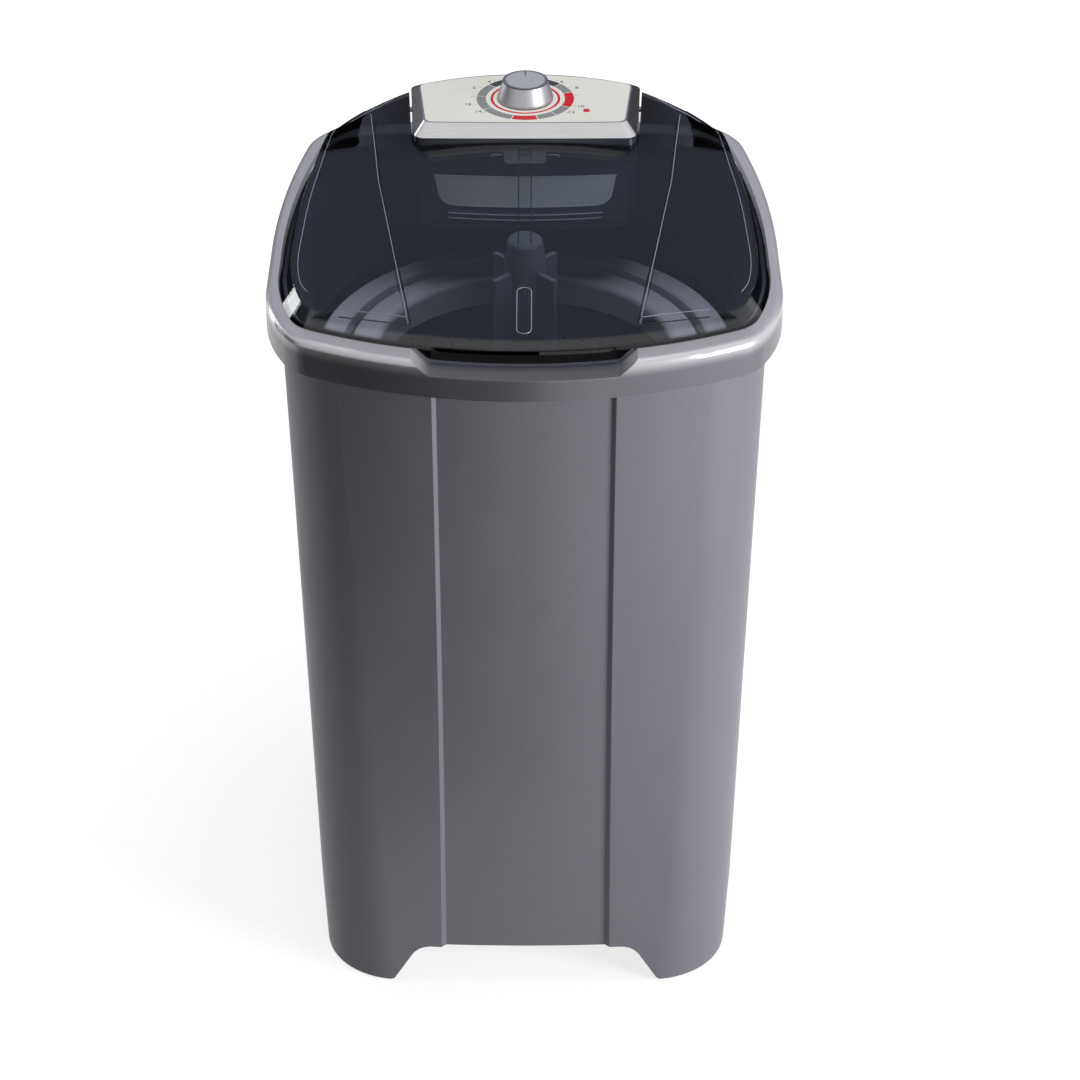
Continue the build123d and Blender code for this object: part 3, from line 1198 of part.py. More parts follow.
hub_underside = BASKET_FLOOR - HUB_THICKNESS
with BuildPart() as basket_hub:
    add(turned([(SPIN_TUBE_RADIUS, BASKET_FLOOR), (HUB_RADIUS, BASKET_FLOOR),
                (HUB_RADIUS, hub_underside), (HUB_BOSS_RADIUS, hub_underside),
                (HUB_BOSS_RADIUS, hub_underside - HUB_BOSS_HEIGHT),
                (SPIN_TUBE_RADIUS, hub_underside - HUB_BOSS_HEIGHT)]))
    with PolarLocations(HUB_SCREW_CIRCLE, HUB_SCREW_COUNT):
        with Locations((0, 0, BASKET_FLOOR)):
            Cylinder(SCREW_RADIUS, 4 * HUB_THICKNESS, mode=Mode.SUBTRACT)
basket_hub.part.label = "basket_hub"
export_step(basket_hub.part, "parts/basket_hub.step")

with BuildPart() as hub_screws:
    with PolarLocations(HUB_SCREW_CIRCLE, HUB_SCREW_COUNT):
        with Locations((0, 0, BASKET_FLOOR + BASKET_WALL)):
            Cylinder(SCREW_HEAD_RADIUS, SCREW_HEAD_HEIGHT, align=UPWARD)
            Cylinder(SCREW_RADIUS, BASKET_WALL + HUB_THICKNESS, align=DOWNWARD)
hub_screws.part.label = "hub_screws"
export_step(hub_screws.part, "parts/hub_screws.step")

gearcase_bore_floor = HOUSING_BOTTOM - GEARCASE_BORE
with BuildPart() as spin_tube:
    add(tube(SPIN_TUBE_RADIUS, AGITATOR_SHAFT_RADIUS + RUNNING_GAP, gearcase_bore_floor + 1,
             BASKET_FLOOR + BASKET_WALL))
spin_tube.part.label = "spin_tube"
export_step(spin_tube.part, "parts/spin_tube.step")

agitator_hub_top = SKIRT_BOTTOM + SKIRT_RISE + HUB_THICKNESS
with BuildPart() as agitator_shaft:
    add(tube(AGITATOR_SHAFT_RADIUS, 0, gearcase_bore_floor + 1, agitator_hub_top))
    add(tube(MOTOR_BOLT_RADIUS, 0, agitator_hub_top - SCREW_LENGTH, agitator_hub_top),
        mode=Mode.SUBTRACT)
agitator_shaft.part.label = "agitator_shaft"
export_step(agitator_shaft.part, "parts/agitator_shaft.step")

with BuildPart() as agitator_bolt:
    with BuildSketch(Plane.XY.offset(agitator_hub_top)):
        RegularPolygon(AGITATOR_SHAFT_RADIUS + 1, HEXAGON)
    extrude(amount=MOTOR_BOLT_RADIUS + 1)
    add(tube(MOTOR_BOLT_RADIUS, 0, agitator_hub_top - SCREW_LENGTH, agitator_hub_top))
agitator_bolt.part.label = "agitator_bolt"
export_step(agitator_bolt.part, "parts/agitator_bolt.step")


def agitator_section(wall):
    """Half of the agitator's outline, drawn in by wall, turned about the axis."""
    skirt_edge = SKIRT_BOTTOM + CAP_LIP - wall
    foot_height = SKIRT_BOTTOM + 2 * SKIRT_RISE - wall
    with BuildPart() as body:
        with BuildSketch(Plane.XZ):
            with BuildLine():
                Polyline((0, COLUMN_TOP - wall), (0, SKIRT_BOTTOM), (SKIRT_RADIUS - wall, SKIRT_BOTTOM),
                         (SKIRT_RADIUS - wall, skirt_edge))
                ThreePointArc((SKIRT_RADIUS - wall, skirt_edge),
                              (SKIRT_RADIUS / 2, SKIRT_BOTTOM + SKIRT_RISE - SKIRT_CROWN_WALLS * wall),
                              (COLUMN_FOOT_RADIUS - wall, foot_height))
                Polyline((COLUMN_FOOT_RADIUS - wall, foot_height), (COLUMN_RADIUS - wall, VANE_TOP),
                         (COLUMN_RADIUS - wall, COLUMN_TOP - wall), (0, COLUMN_TOP - wall))
            make_face()
        revolve(axis=Axis.Z)
    return body.part


agitator_outside = agitator_section(0)
agitator_inside = agitator_section(AGITATOR_WALL)
agitator_hub_radius = AGITATOR_SHAFT_RADIUS + HUB_THICKNESS
agitator_hub = turned([(AGITATOR_SHAFT_RADIUS, SKIRT_BOTTOM), (agitator_hub_radius, SKIRT_BOTTOM),
                       (agitator_hub_radius, SKIRT_BOTTOM + SKIRT_RISE),
                       (SKIRT_RADIUS, SKIRT_BOTTOM + SKIRT_RISE), (SKIRT_RADIUS, agitator_hub_top),
                       (AGITATOR_SHAFT_RADIUS, agitator_hub_top)])
with BuildPart() as agitator:
    add(agitator_outside)
    with BuildSketch(Plane.XZ) as vane_outline:
        with BuildLine():
            Polyline((0, SKIRT_BOTTOM + CAP_LIP), (VANE_RADIUS, SKIRT_BOTTOM + CAP_LIP),
                     (VANE_RADIUS, SKIRT_BOTTOM + 2 * SKIRT_RISE), (COLUMN_FOOT_RADIUS, VANE_TOP),
                     (COLUMN_RADIUS, FIN_BOTTOM), (FIN_RADIUS, FIN_BOTTOM + SKIRT_RISE),
                     (FIN_RADIUS, FIN_TOP), (0, FIN_TOP), close=True)
        make_face()
        fillet(vane_outline.vertices().sort_by(Axis.X)[-2:].sort_by(Axis.Y)[-1], 2 * CAP_LIP)
    vane = extrude(amount=VANE_THICKNESS / 2, both=True, mode=Mode.PRIVATE)
    for index in range(VANE_COUNT):
        add(vane.rotate(Axis.Z, VANE_TURN + index * 360 / VANE_COUNT))
    add(agitator_inside, mode=Mode.SUBTRACT)
    add(agitator_hub & agitator_outside)
agitator.part.label = "agitator"
export_step(agitator.part, "parts/agitator.step")

with BuildPart() as agitator_cap:
    with BuildSketch(Plane.XY.offset(COLUMN_TOP)):
        Circle(COLUMN_RADIUS)
    extrude(amount=CAP_TOP - COLUMN_TOP, taper=CAP_TAPER)
    fillet(agitator_cap.edges().sort_by(Axis.Z)[-1], CAP_LIP)
agitator_cap.part.label = "agitator_cap"
export_step(agitator_cap.part, "parts/agitator_cap.step")

bearing_bottoms = (HOUSING_BOTTOM, HOUSING_TOP - SEAL_HEIGHT - BEARING_WIDTH)
bearing_step = BEARING_RADIUS - HUB_THICKNESS
with BuildPart() as bearing_housing:
    add(turned([(bearing_step, bearing_bottoms[0] + BEARING_WIDTH), (bearing_step, bearing_bottoms[1]),
                (BEARING_RADIUS, bearing_bottoms[1]), (BEARING_RADIUS, HOUSING_TOP),
                (HOUSING_RADIUS, HOUSING_TOP), (HOUSING_RADIUS, TUB_FLOOR),
                (HOUSING_FLANGE_RADIUS, TUB_FLOOR), (HOUSING_FLANGE_RADIUS, TUB_FLOOR - HOUSING_FLANGE),
                (HOUSING_RADIUS, TUB_FLOOR - HOUSING_FLANGE),
                (HOUSING_RADIUS, HOUSING_BOTTOM + GEARCASE_LIP),
                (GEARCASE_COLLAR, HOUSING_BOTTOM + GEARCASE_LIP), (GEARCASE_COLLAR, HOUSING_BOTTOM),
                (BEARING_RADIUS, HOUSING_BOTTOM),
                (BEARING_RADIUS, bearing_bottoms[0] + BEARING_WIDTH)]))
    with PolarLocations(GEARCASE_SCREW_CIRCLE, GEARCASE_SCREW_COUNT):
        with Locations((0, 0, HOUSING_BOTTOM)):
            Cylinder(SCREW_RADIUS, 4 * GEARCASE_LIP, mode=Mode.SUBTRACT)
bearing_housing.part.label = "bearing_housing"
export_step(bearing_housing.part, "parts/bearing_housing.step")

with BuildPart() as bearings:
    for bottom in bearing_bottoms:
        add(tube(BEARING_RADIUS, SPIN_TUBE_RADIUS + RUNNING_GAP, bottom, bottom + BEARING_WIDTH))
bearings.part.label = "bearings"
export_step(bearings.part, "parts/bearings.step")

with BuildPart() as shaft_seal:
    add(tube(BEARING_RADIUS, SPIN_TUBE_RADIUS + RUNNING_GAP, HOUSING_TOP - SEAL_HEIGHT, HOUSING_TOP))
shaft_seal.part.label = "shaft_seal"
export_step(shaft_seal.part, "parts/shaft_seal.step")

gearcase_shoulder = HOUSING_BOTTOM - GEARCASE_LIP
gearcase_boss_bottom = GEARCASE_BOTTOM - GEARCASE_BOSS_HEIGHT
input_bore_top = GEARCASE_BOTTOM + GEARCASE_BORE
with BuildPart() as gearcase:
    add(turned([(0, HOUSING_BOTTOM), (GEARCASE_COLLAR, HOUSING_BOTTOM),
                (GEARCASE_COLLAR, gearcase_shoulder),
                (GEARCASE_RADIUS - GEARCASE_CHAMFER, gearcase_shoulder),
                (GEARCASE_RADIUS, gearcase_shoulder - GEARCASE_CHAMFER),
                (GEARCASE_RADIUS, GEARCASE_BOTTOM + GEARCASE_CHAMFER),
                (GEARCASE_RADIUS - GEARCASE_CHAMFER, GEARCASE_BOTTOM),
                (GEARCASE_BOSS_RADIUS, GEARCASE_BOTTOM),
                (GEARCASE_BOSS_RADIUS, gearcase_boss_bottom), (0, gearcase_boss_bottom)]))
    add(tube(SPIN_TUBE_RADIUS + FIT_GAP, 0, gearcase_bore_floor, HOUSING_BOTTOM), mode=Mode.SUBTRACT)
    add(tube(INPUT_SHAFT_RADIUS + RUNNING_GAP, 0, gearcase_boss_bottom, input_bore_top),
        mode=Mode.SUBTRACT)
    with PolarLocations(GEARCASE_SCREW_CIRCLE, GEARCASE_SCREW_COUNT):
        with Locations((0, 0, HOUSING_BOTTOM)):
            Cylinder(SCREW_RADIUS, SCREW_LENGTH + GEARCASE_LIP, mode=Mode.SUBTRACT)
gearcase.part.label = "gearcase"
export_step(gearcase.part, "parts/gearcase.step")

with BuildPart() as gearcase_screws:
    with PolarLocations(GEARCASE_SCREW_CIRCLE, GEARCASE_SCREW_COUNT):
        with Locations((0, 0, HOUSING_BOTTOM + GEARCASE_LIP)):
            Cylinder(SCREW_HEAD_RADIUS, SCREW_HEAD_HEIGHT, align=UPWARD)
            Cylinder(SCREW_RADIUS, SCREW_LENGTH + GEARCASE_LIP / 2, align=DOWNWARD)
gearcase_screws.part.label = "gearcase_screws"
export_step(gearcase_screws.part, "parts/gearcase_screws.step")

pulley_low = PULLEY_MIDDLE - PULLEY_WIDTH / 2 - PULLEY_HUB_LIP
with BuildPart() as input_shaft:
    add(tube(INPUT_SHAFT_RADIUS, 0, pulley_low - PULLEY_NUT_HEIGHT - 1, input_bore_top - 1))
input_shaft.part.label = "input_shaft"
export_step(input_shaft.part, "parts/input_shaft.step")

with BuildPart() as driven_pulley:
    add(pulley(DRIVEN_PULLEY_RADIUS, INPUT_SHAFT_RADIUS, PULLEY_HUB_RADIUS, 0))
    with PolarLocations(SPOKE_HOLE_CIRCLE, SPOKE_HOLE_COUNT):
        with Locations((0, 0, PULLEY_MIDDLE)):
            Cylinder(SPOKE_HOLE_RADIUS, PULLEY_WIDTH, mode=Mode.SUBTRACT)
driven_pulley.part.label = "driven_pulley"
export_step(driven_pulley.part, "parts/driven_pulley.step")

with BuildPart() as pulley_nut:
    with BuildSketch(Plane.XY.offset(pulley_low)):
        RegularPolygon(PULLEY_NUT_RADIUS + SCREW_RADIUS, HEXAGON)
        Circle(INPUT_SHAFT_RADIUS, mode=Mode.SUBTRACT)
    extrude(amount=-PULLEY_NUT_HEIGHT)
pulley_nut.part.label = "pulley_nut"
export_step(pulley_nut.part, "parts/pulley_nut.step")

with BuildPart() as drive_belt:
    add(belt_loop(BELT_SINK))
    add(belt_loop(BELT_SINK + BELT_THICKNESS), mode=Mode.SUBTRACT)
drive_belt.part.label = "drive_belt"
export_step(drive_belt.part, "parts/drive_belt.step")

motor_axis = Axis((0, MOTOR_DISTANCE, 0), (0, 0, 1))
motor_top = rib_bottom - BRACKET_THICKNESS
motor_bore_top = MOTOR_BOTTOM + MOTOR_BELL_HEIGHT
with BuildPart() as motor:
    with BuildSketch(Plane.XZ.offset(-MOTOR_DISTANCE)):
        with BuildLine():
            band = MOTOR_RADIUS - MOTOR_BAND_RISE
            Polyline((0, MOTOR_BOTTOM), (band - MOTOR_BELL_HEIGHT / 2, MOTOR_BOTTOM),
                     (band, MOTOR_BOTTOM + MOTOR_BELL_HEIGHT / 2), (band, motor_bore_top),
                     (MOTOR_RADIUS, motor_bore_top), (MOTOR_RADIUS, motor_top - MOTOR_BELL_HEIGHT),
                     (band, motor_top - MOTOR_BELL_HEIGHT), (band, motor_top - MOTOR_BELL_HEIGHT / 2),
                     (band - MOTOR_BELL_HEIGHT / 2, motor_top), (0, motor_top), close=True)
        make_face()
    revolve(axis=motor_axis)
    with BuildSketch(Plane.XY.offset(MOTOR_BOTTOM)):
        with Locations((0, MOTOR_DISTANCE)):
            Circle(MOTOR_SHAFT_RADIUS + RUNNING_GAP)
    extrude(amount=MOTOR_BELL_HEIGHT, mode=Mode.SUBTRACT)
motor.part.label = "motor"
export_step(motor.part, "parts/motor.step")

with BuildPart() as motor_shaft:
    with BuildSketch(Plane.XY.offset(pulley_low - 1)):
        with Locations((0, MOTOR_DISTANCE)):
            Circle(MOTOR_SHAFT_RADIUS)
    extrude(amount=motor_bore_top - pulley_low)
motor_shaft.part.label = "motor_shaft"
export_step(motor_shaft.part, "parts/motor_shaft.step")

with BuildPart() as motor_pulley:
    add(pulley(MOTOR_PULLEY_RADIUS, MOTOR_SHAFT_RADIUS, PULLEY_HUB_RADIUS, MOTOR_DISTANCE))
motor_pulley.part.label = "motor_pulley"
export_step(motor_pulley.part, "parts/motor_pulley.step")

bracket_middle = (MOTOR_BOLT_FRONT + MOTOR_BOLT_REAR) / 2
bracket_length = MOTOR_BOLT_REAR - MOTOR_BOLT_FRONT + 2 * BRACKET_MARGIN
with BuildPart() as motor_bracket:
    with BuildSketch(Plane.XY.offset(motor_top)):
        with Locations((0, bracket_middle)):
            RectangleRounded(2 * MOTOR_BOLT_SIDE + 2 * BRACKET_MARGIN, bracket_length, BRACKET_MARGIN)
        with Locations(*motor_bolt_places):
            Circle(MOTOR_BOLT_RADIUS, mode=Mode.SUBTRACT)
        with Locations((0, MOTOR_DISTANCE)):
            Circle(MOTOR_COLLAR_RADIUS, mode=Mode.SUBTRACT)
    extrude(amount=BRACKET_THICKNESS)
motor_bracket.part.label = "motor_bracket"
export_step(motor_bracket.part, "parts/motor_bracket.step")

with BuildPart() as motor_bolts:
    with Locations(*[(side, depth, motor_top) for side, depth in motor_bolt_places]):
        Cylinder(MOTOR_BOLT_RADIUS, BRACKET_THICKNESS + MOTOR_BOLT_GRIP - 1, align=UPWARD)
        Cylinder(ROD_HEAD_RADIUS, ROD_NUT_HEIGHT, align=DOWNWARD)
motor_bolts.part.label = "motor_bolts"
export_step(motor_bolts.part, "parts/motor_bolts.step")

with BuildPart() as damper_sleeves:
    with BuildSketch(Plane.XY.offset(TUB_FLOOR)):
        with Locations(*corner_places):
            Circle(SLEEVE_RADIUS)
            Circle(SLEEVE_RADIUS - SLEEVE_WALL, mode=Mode.SUBTRACT)
    extrude(amount=-SLEEVE_HEIGHT)
damper_sleeves.part.label = "damper_sleeves"
export_step(damper_sleeves.part, "parts/damper_sleeves.step")

rod_cap_bottom = ROD_BOTTOM + ROD_NUT_HEIGHT
spring_bottom = rod_cap_bottom + ROD_CAP_THICKNESS
bracket_boss_top = BRACKET_HEIGHT + BRACKET_PLATE + BRACKET_BOSS_HEIGHT
with BuildPart() as suspension_rods:
    with Locations(*[(side, depth, ROD_BOTTOM) for side, depth in corner_places]):
        Cylinder(ROD_RADIUS, bracket_boss_top - ROD_BOTTOM, align=UPWARD)
        Cylinder(ROD_HEAD_RADIUS, ROD_NUT_HEIGHT, align=UPWARD)
    with Locations(*[(side, depth, bracket_boss_top) for side, depth in corner_places]):
        Cylinder(ROD_HEAD_RADIUS, ROD_HEAD_HEIGHT, align=UPWARD)
suspension_rods.part.label = "suspension_rods"
export_step(suspension_rods.part, "parts/suspension_rods.step")

with BuildPart() as rod_caps:
    with BuildSketch(Plane.XY.offset(rod_cap_bottom)):
        with Locations(*corner_places):
            Circle(SLEEVE_RADIUS)
            Circle(ROD_RADIUS, mode=Mode.SUBTRACT)
    extrude(amount=ROD_CAP_THICKNESS)
rod_caps.part.label = "rod_caps"
export_step(rod_caps.part, "parts/rod_caps.step")

with BuildPart() as suspension_springs:
    with BuildSketch(Plane.XY.offset(spring_bottom)):
        with Locations(*corner_places):
            Circle(SPRING_RADIUS)
            Circle(SPRING_RADIUS - SPRING_WIRE, mode=Mode.SUBTRACT)
    extrude(amount=TUB_FLOOR - spring_bottom)
suspension_springs.part.label = "suspension_springs"
export_step(suspension_springs.part, "parts/suspension_springs.step")

lining = cabinet_form(CABINET_WALL + FIT_GAP)
with BuildPart() as suspension_brackets:
    with BuildSketch(Plane.XY.offset(BRACKET_HEIGHT)):
        with GridLocations(2 * CABINET_TOP_PLAN.half_width, 2 * CABINET_TOP_PLAN.rear, 2, 2):
            Rectangle(2 * (CABINET_TOP_PLAN.half_width - BRACKET_REACH_SIDE),
                      2 * (CABINET_TOP_PLAN.rear - BRACKET_REACH_DEPTH))
        Circle(BRACKET_CUT_RADIUS, mode=Mode.SUBTRACT)
    extrude(amount=BRACKET_PLATE)
    add(lining, mode=Mode.INTERSECT)
    with BuildSketch(Plane.XY.offset(BRACKET_HEIGHT + BRACKET_PLATE)):
        with Locations(*corner_places):
            Circle(BRACKET_BOSS_RADIUS)
    extrude(amount=BRACKET_BOSS_HEIGHT)
    with BuildSketch(Plane.XY.offset(BRACKET_HEIGHT)):
        with Locations(*corner_places):
            Circle(ROD_RADIUS)
    extrude(amount=BRACKET_PLATE + BRACKET_BOSS_HEIGHT, mode=Mode.SUBTRACT)
suspension_brackets.part.label = "suspension_brackets"
export_step(suspension_brackets.part, "parts/suspension_brackets.step")

frame_slab = plan_block(CABINET_TOP_PLAN, FRAME_BOTTOM, FRAME_BOTTOM + FRAME_THICKNESS)
panel_clearance = (panel_wedge(CABINET_WALL + FIT_GAP)
                   - cabinet_form(PANEL_DEPTH + CABINET_WALL + FIT_GAP))
post_places = [(side * POST_SIDE, depth * POST_DEPTH) for side in (-1, 1) for depth in (-1, 1)]
with BuildPart() as base_frame:
    add(frame_slab & lining)
    add(cabinet_form(CABINET_WALL + FIT_GAP + FRAME_BAR), mode=Mode.SUBTRACT)
    add(panel_clearance, mode=Mode.SUBTRACT)
    with BuildSketch(Plane.XY.offset(FOOT_HEIGHT)):
        with Locations(*post_places):
            Circle(POST_RADIUS)
    extrude(amount=FRAME_BOTTOM - FOOT_HEIGHT)
    with BuildSketch(Plane.XY.offset(FOOT_HEIGHT + POST_WALL)):
        with Locations(*post_places):
            Circle(POST_RADIUS - POST_WALL)
    extrude(amount=FRAME_BOTTOM - FOOT_HEIGHT - POST_WALL, mode=Mode.SUBTRACT)
base_frame.part.label = "base_frame"
export_step(base_frame.part, "parts/base_frame.step")

with BuildPart() as feet:
    with BuildSketch():
        with Locations(*post_places):
            Circle(FOOT_RADIUS)
    extrude(amount=FOOT_HEIGHT)
    chamfer(feet.edges().group_by(Axis.Z)[0], FOOT_CHAMFER)
feet.part.label = "feet"
export_step(feet.part, "parts/feet.step")

hose_top = TUB_FLOOR - DRAIN_OUTLET_LENGTH
with BuildPart() as drain_hose:
    with BuildLine() as hose_path:
        FilletPolyline((DRAIN_SIDE, DRAIN_DEPTH, hose_top), (DRAIN_SIDE, DRAIN_DEPTH, SPIGOT_HEIGHT),
                       (DRAIN_SIDE, SPIGOT_PLATE_DEPTH, SPIGOT_HEIGHT), radius=DRAIN_BEND)
    with BuildSketch(Plane.XY.offset(hose_top)):
        with Locations((DRAIN_SIDE, DRAIN_DEPTH)):
            Circle(DRAIN_RADIUS)
            Circle(DRAIN_RADIUS - DRAIN_WALL, mode=Mode.SUBTRACT)
    sweep(path=hose_path.wires()[0])
drain_hose.part.label = "drain_hose"
export_step(drain_hose.part, "parts/drain_hose.step")

with BuildPart() as drain_spigot:
    with BuildSketch(Plane.XZ.offset(-SPIGOT_PLATE_DEPTH)):
        with Locations((DRAIN_SIDE, SPIGOT_HEIGHT)):
            Circle(SPIGOT_PLATE_WIDTH / 2)
            Rectangle(SPIGOT_PLATE_WIDTH, FRAME_BOTTOM - SPIGOT_HEIGHT, align=(Align.CENTER, Align.MIN))
    extrude(amount=-DRAIN_PLATE)
    with BuildSketch(Plane.XZ.offset(-SPIGOT_PLATE_DEPTH - DRAIN_PLATE)):
        with Locations((DRAIN_SIDE, SPIGOT_HEIGHT)):
            Circle(SPIGOT_RADIUS)
    extrude(amount=SPIGOT_PLATE_DEPTH + DRAIN_PLATE - SPIGOT_END)
    with BuildSketch(Plane.XZ.offset(-SPIGOT_PLATE_DEPTH)):
        with Locations((DRAIN_SIDE, SPIGOT_HEIGHT)):
            Circle(SPIGOT_BORE)
    extrude(amount=SPIGOT_PLATE_DEPTH - SPIGOT_END, mode=Mode.SUBTRACT)
drain_spigot.part.label = "drain_spigot"
export_step(drain_spigot.part, "parts/drain_spigot.step")

gland_face = rear_surface(GLAND_SIDE - GLAND_RADIUS, GLAND_HEIGHT + GLAND_RADIUS)
gland_back = (rear_surface(GLAND_SIDE + GLAND_RADIUS, GLAND_HEIGHT - GLAND_RADIUS)
              - CABINET_WALL - FIT_GAP / 2)
gland_parts = ((GLAND_RADIUS, gland_face + GLAND_REACH, GLAND_REACH - FIT_GAP / 2),
               (GLAND_NECK, gland_face + GLAND_REACH, GLAND_REACH + GLAND_TAIL + CABINET_WALL),
               (GLAND_RADIUS, gland_back, GLAND_TAIL - GLAND_NECK))
with BuildPart() as cable_gland:
    for radius, depth, length in gland_parts:
        with BuildSketch(Plane.XZ.offset(-depth)):
            with Locations((GLAND_SIDE, GLAND_HEIGHT)):
                Circle(radius)
        extrude(amount=length)
    with BuildSketch(Plane.XZ.offset(-gland_face - GLAND_REACH)):
        with Locations((GLAND_SIDE, GLAND_HEIGHT)):
            Circle(GLAND_BORE)
    extrude(amount=2 * GLAND_TAIL + GLAND_REACH, mode=Mode.SUBTRACT)
cable_gland.part.label = "cable_gland"
export_step(cable_gland.part, "parts/cable_gland.step")

frame_top = FRAME_BOTTOM + FRAME_THICKNESS
with BuildPart() as capacitor:
    with BuildSketch(Plane.XY.offset(frame_top)):
        with Locations((CAPACITOR_SIDE, 0)):
            Circle(CAPACITOR_RADIUS)
    extrude(amount=CAPACITOR_HEIGHT)
    fillet(capacitor.edges().group_by(Axis.Z)[-1], CLIP_WALL)
capacitor.part.label = "capacitor"
export_step(capacitor.part, "parts/capacitor.step")

with BuildPart() as capacitor_clip:
    with BuildSketch(Plane.XY.offset(frame_top)):
        with Locations((CAPACITOR_SIDE, 0)):
            Circle(CAPACITOR_RADIUS + CLIP_WALL)
            Circle(CAPACITOR_RADIUS, mode=Mode.SUBTRACT)
    extrude(amount=CLIP_HEIGHT)
capacitor_clip.part.label = "capacitor_clip"
export_step(capacitor_clip.part, "parts/capacitor_clip.step")
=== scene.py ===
"""Studio scene of a semi-automatic, top-loading washing machine.

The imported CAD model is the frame. Every node keeps its shape and gets a procedural finish here,
and each sub-assembly class adds the detail that is too fine for the CAD solids. Metres, +Z up,
-Y to the front.
"""

import logging
import math
from dataclasses import dataclass
from enum import Enum
from typing import Callable, Iterable, Sequence

import bmesh
import bpy
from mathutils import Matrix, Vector
from mathutils.bvhtree import BVHTree


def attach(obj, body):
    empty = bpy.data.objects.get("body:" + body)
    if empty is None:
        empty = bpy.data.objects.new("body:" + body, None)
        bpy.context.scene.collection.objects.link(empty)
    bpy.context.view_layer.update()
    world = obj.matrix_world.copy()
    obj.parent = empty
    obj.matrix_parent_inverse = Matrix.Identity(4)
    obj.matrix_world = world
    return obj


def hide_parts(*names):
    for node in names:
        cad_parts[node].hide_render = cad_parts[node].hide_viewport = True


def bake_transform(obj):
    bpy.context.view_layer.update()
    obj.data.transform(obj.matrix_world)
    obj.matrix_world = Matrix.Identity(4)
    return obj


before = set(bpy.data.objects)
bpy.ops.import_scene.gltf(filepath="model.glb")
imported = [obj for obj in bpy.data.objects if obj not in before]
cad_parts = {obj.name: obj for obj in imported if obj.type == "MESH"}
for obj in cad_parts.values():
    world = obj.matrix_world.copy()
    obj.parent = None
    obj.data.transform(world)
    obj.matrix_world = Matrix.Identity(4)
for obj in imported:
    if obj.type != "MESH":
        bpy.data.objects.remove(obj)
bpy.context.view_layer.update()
LOG = logging.getLogger("washing_machine")
MM = 0.001
Point = tuple[float, float, float]
UP = Vector((0, 0, 1))
DOWN = Vector((0, 0, -1))
EASTWARD = Vector((1, 0, 0))
REARWARD = Vector((0, 1, 0))
WESTWARD = Vector((-1, 0, 0))
# Where rays start that look for a surface: above the whole machine, and in front of it.
CLEAR_ABOVE = Vector((0, 0, 1.2))
CLEAR_FRONT = -0.4
SHARP_EDGE_DEGREES = 35
MERGE_DISTANCE = 1e-7
# Points round an open bead, and round a closed bead or a spring's wire.
BEAD_SIDES = 6
RING_SIDES = 8


class Body(str, Enum):
    """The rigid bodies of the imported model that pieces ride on."""

    CHASSIS = "chassis"
    TUB = "tub"
    BASKET = "basket"
    AGITATOR = "agitator"
    LID = "lid"
    KNOB = "timer_knob"
    FILTER = "filter"


# Colour and node helpers


def linear(hex_colour: str, alpha: float = 1.0) -> tuple[float, float, float, float]:
    """Turns an sRGB hex colour into Blender's linear RGBA.

    Args:
        hex_colour: Colour such as "#8a8c90".
        alpha: Fourth channel.

    Returns:
        The linear colour as four numbers.
    """
    digits = hex_colour.lstrip("#")
    channels = [int(digits[i:i + 2], 16) / 255 for i in (0, 2, 4)]
    red, green, blue = (c / 12.92 if c <= 0.04045 else ((c + 0.055) / 1.055) ** 2.4 for c in channels)
    return red, green, blue, alpha


def add_node(tree: bpy.types.NodeTree, kind: str, links: dict | None = None,
             **settings: object) -> bpy.types.Node:
    """Adds a node, sets what it is told and links what feeds it.

    Args:
        tree: The tree that gets the node.
        kind: Blender's type name, such as "ShaderNodeTexNoise".
        links: Socket name or index to the output socket that feeds it.
        settings: Node properties, or input sockets by name with "_" for a space.

    Returns:
        The new node.
    """
    node = tree.nodes.new(kind)
    for name, value in settings.items():
        if hasattr(node, name):
            setattr(node, name, value)
        else:
            node.inputs[name.replace("_", " ")].default_value = value
    for name, source in (links or {}).items():
        tree.links.new(source, node.inputs[name])
    return node


def new_material(name: str) -> tuple[bpy.types.Material, bpy.types.NodeTree, bpy.types.Node]:
    """Makes an empty node material.

    Args:
        name: The material's name.

    Returns:
        The material, its tree and its output node.
    """
    material = bpy.data.materials.new(name)
    material.use_nodes = True
    tree = material.node_tree
    tree.nodes.clear()
    output = tree.nodes.new("ShaderNodeOutputMaterial")
    return material, tree, output


def seen_rays(tree: bpy.types.NodeTree) -> bpy.types.NodeSocket:
    """Tells the rays that make a picture from those that only carry light.

    Args:
        tree: The tree that gets the nodes.

    Returns:
        A socket that is 1 for camera, glossy and transmission rays, and 0 for the others.
    """
    path = add_node(tree, "ShaderNodeLightPath").outputs
    looked = add_node(tree, "ShaderNodeMath", {0: path["Is Camera Ray"], 1: path["Is Glossy Ray"]},
                      operation="MAXIMUM")
    return add_node(tree, "ShaderNodeMath", {0: looked.outputs[0], 1: path["Is Transmission Ray"]},
                    operation="MAXIMUM").outputs[0]


# Finishes


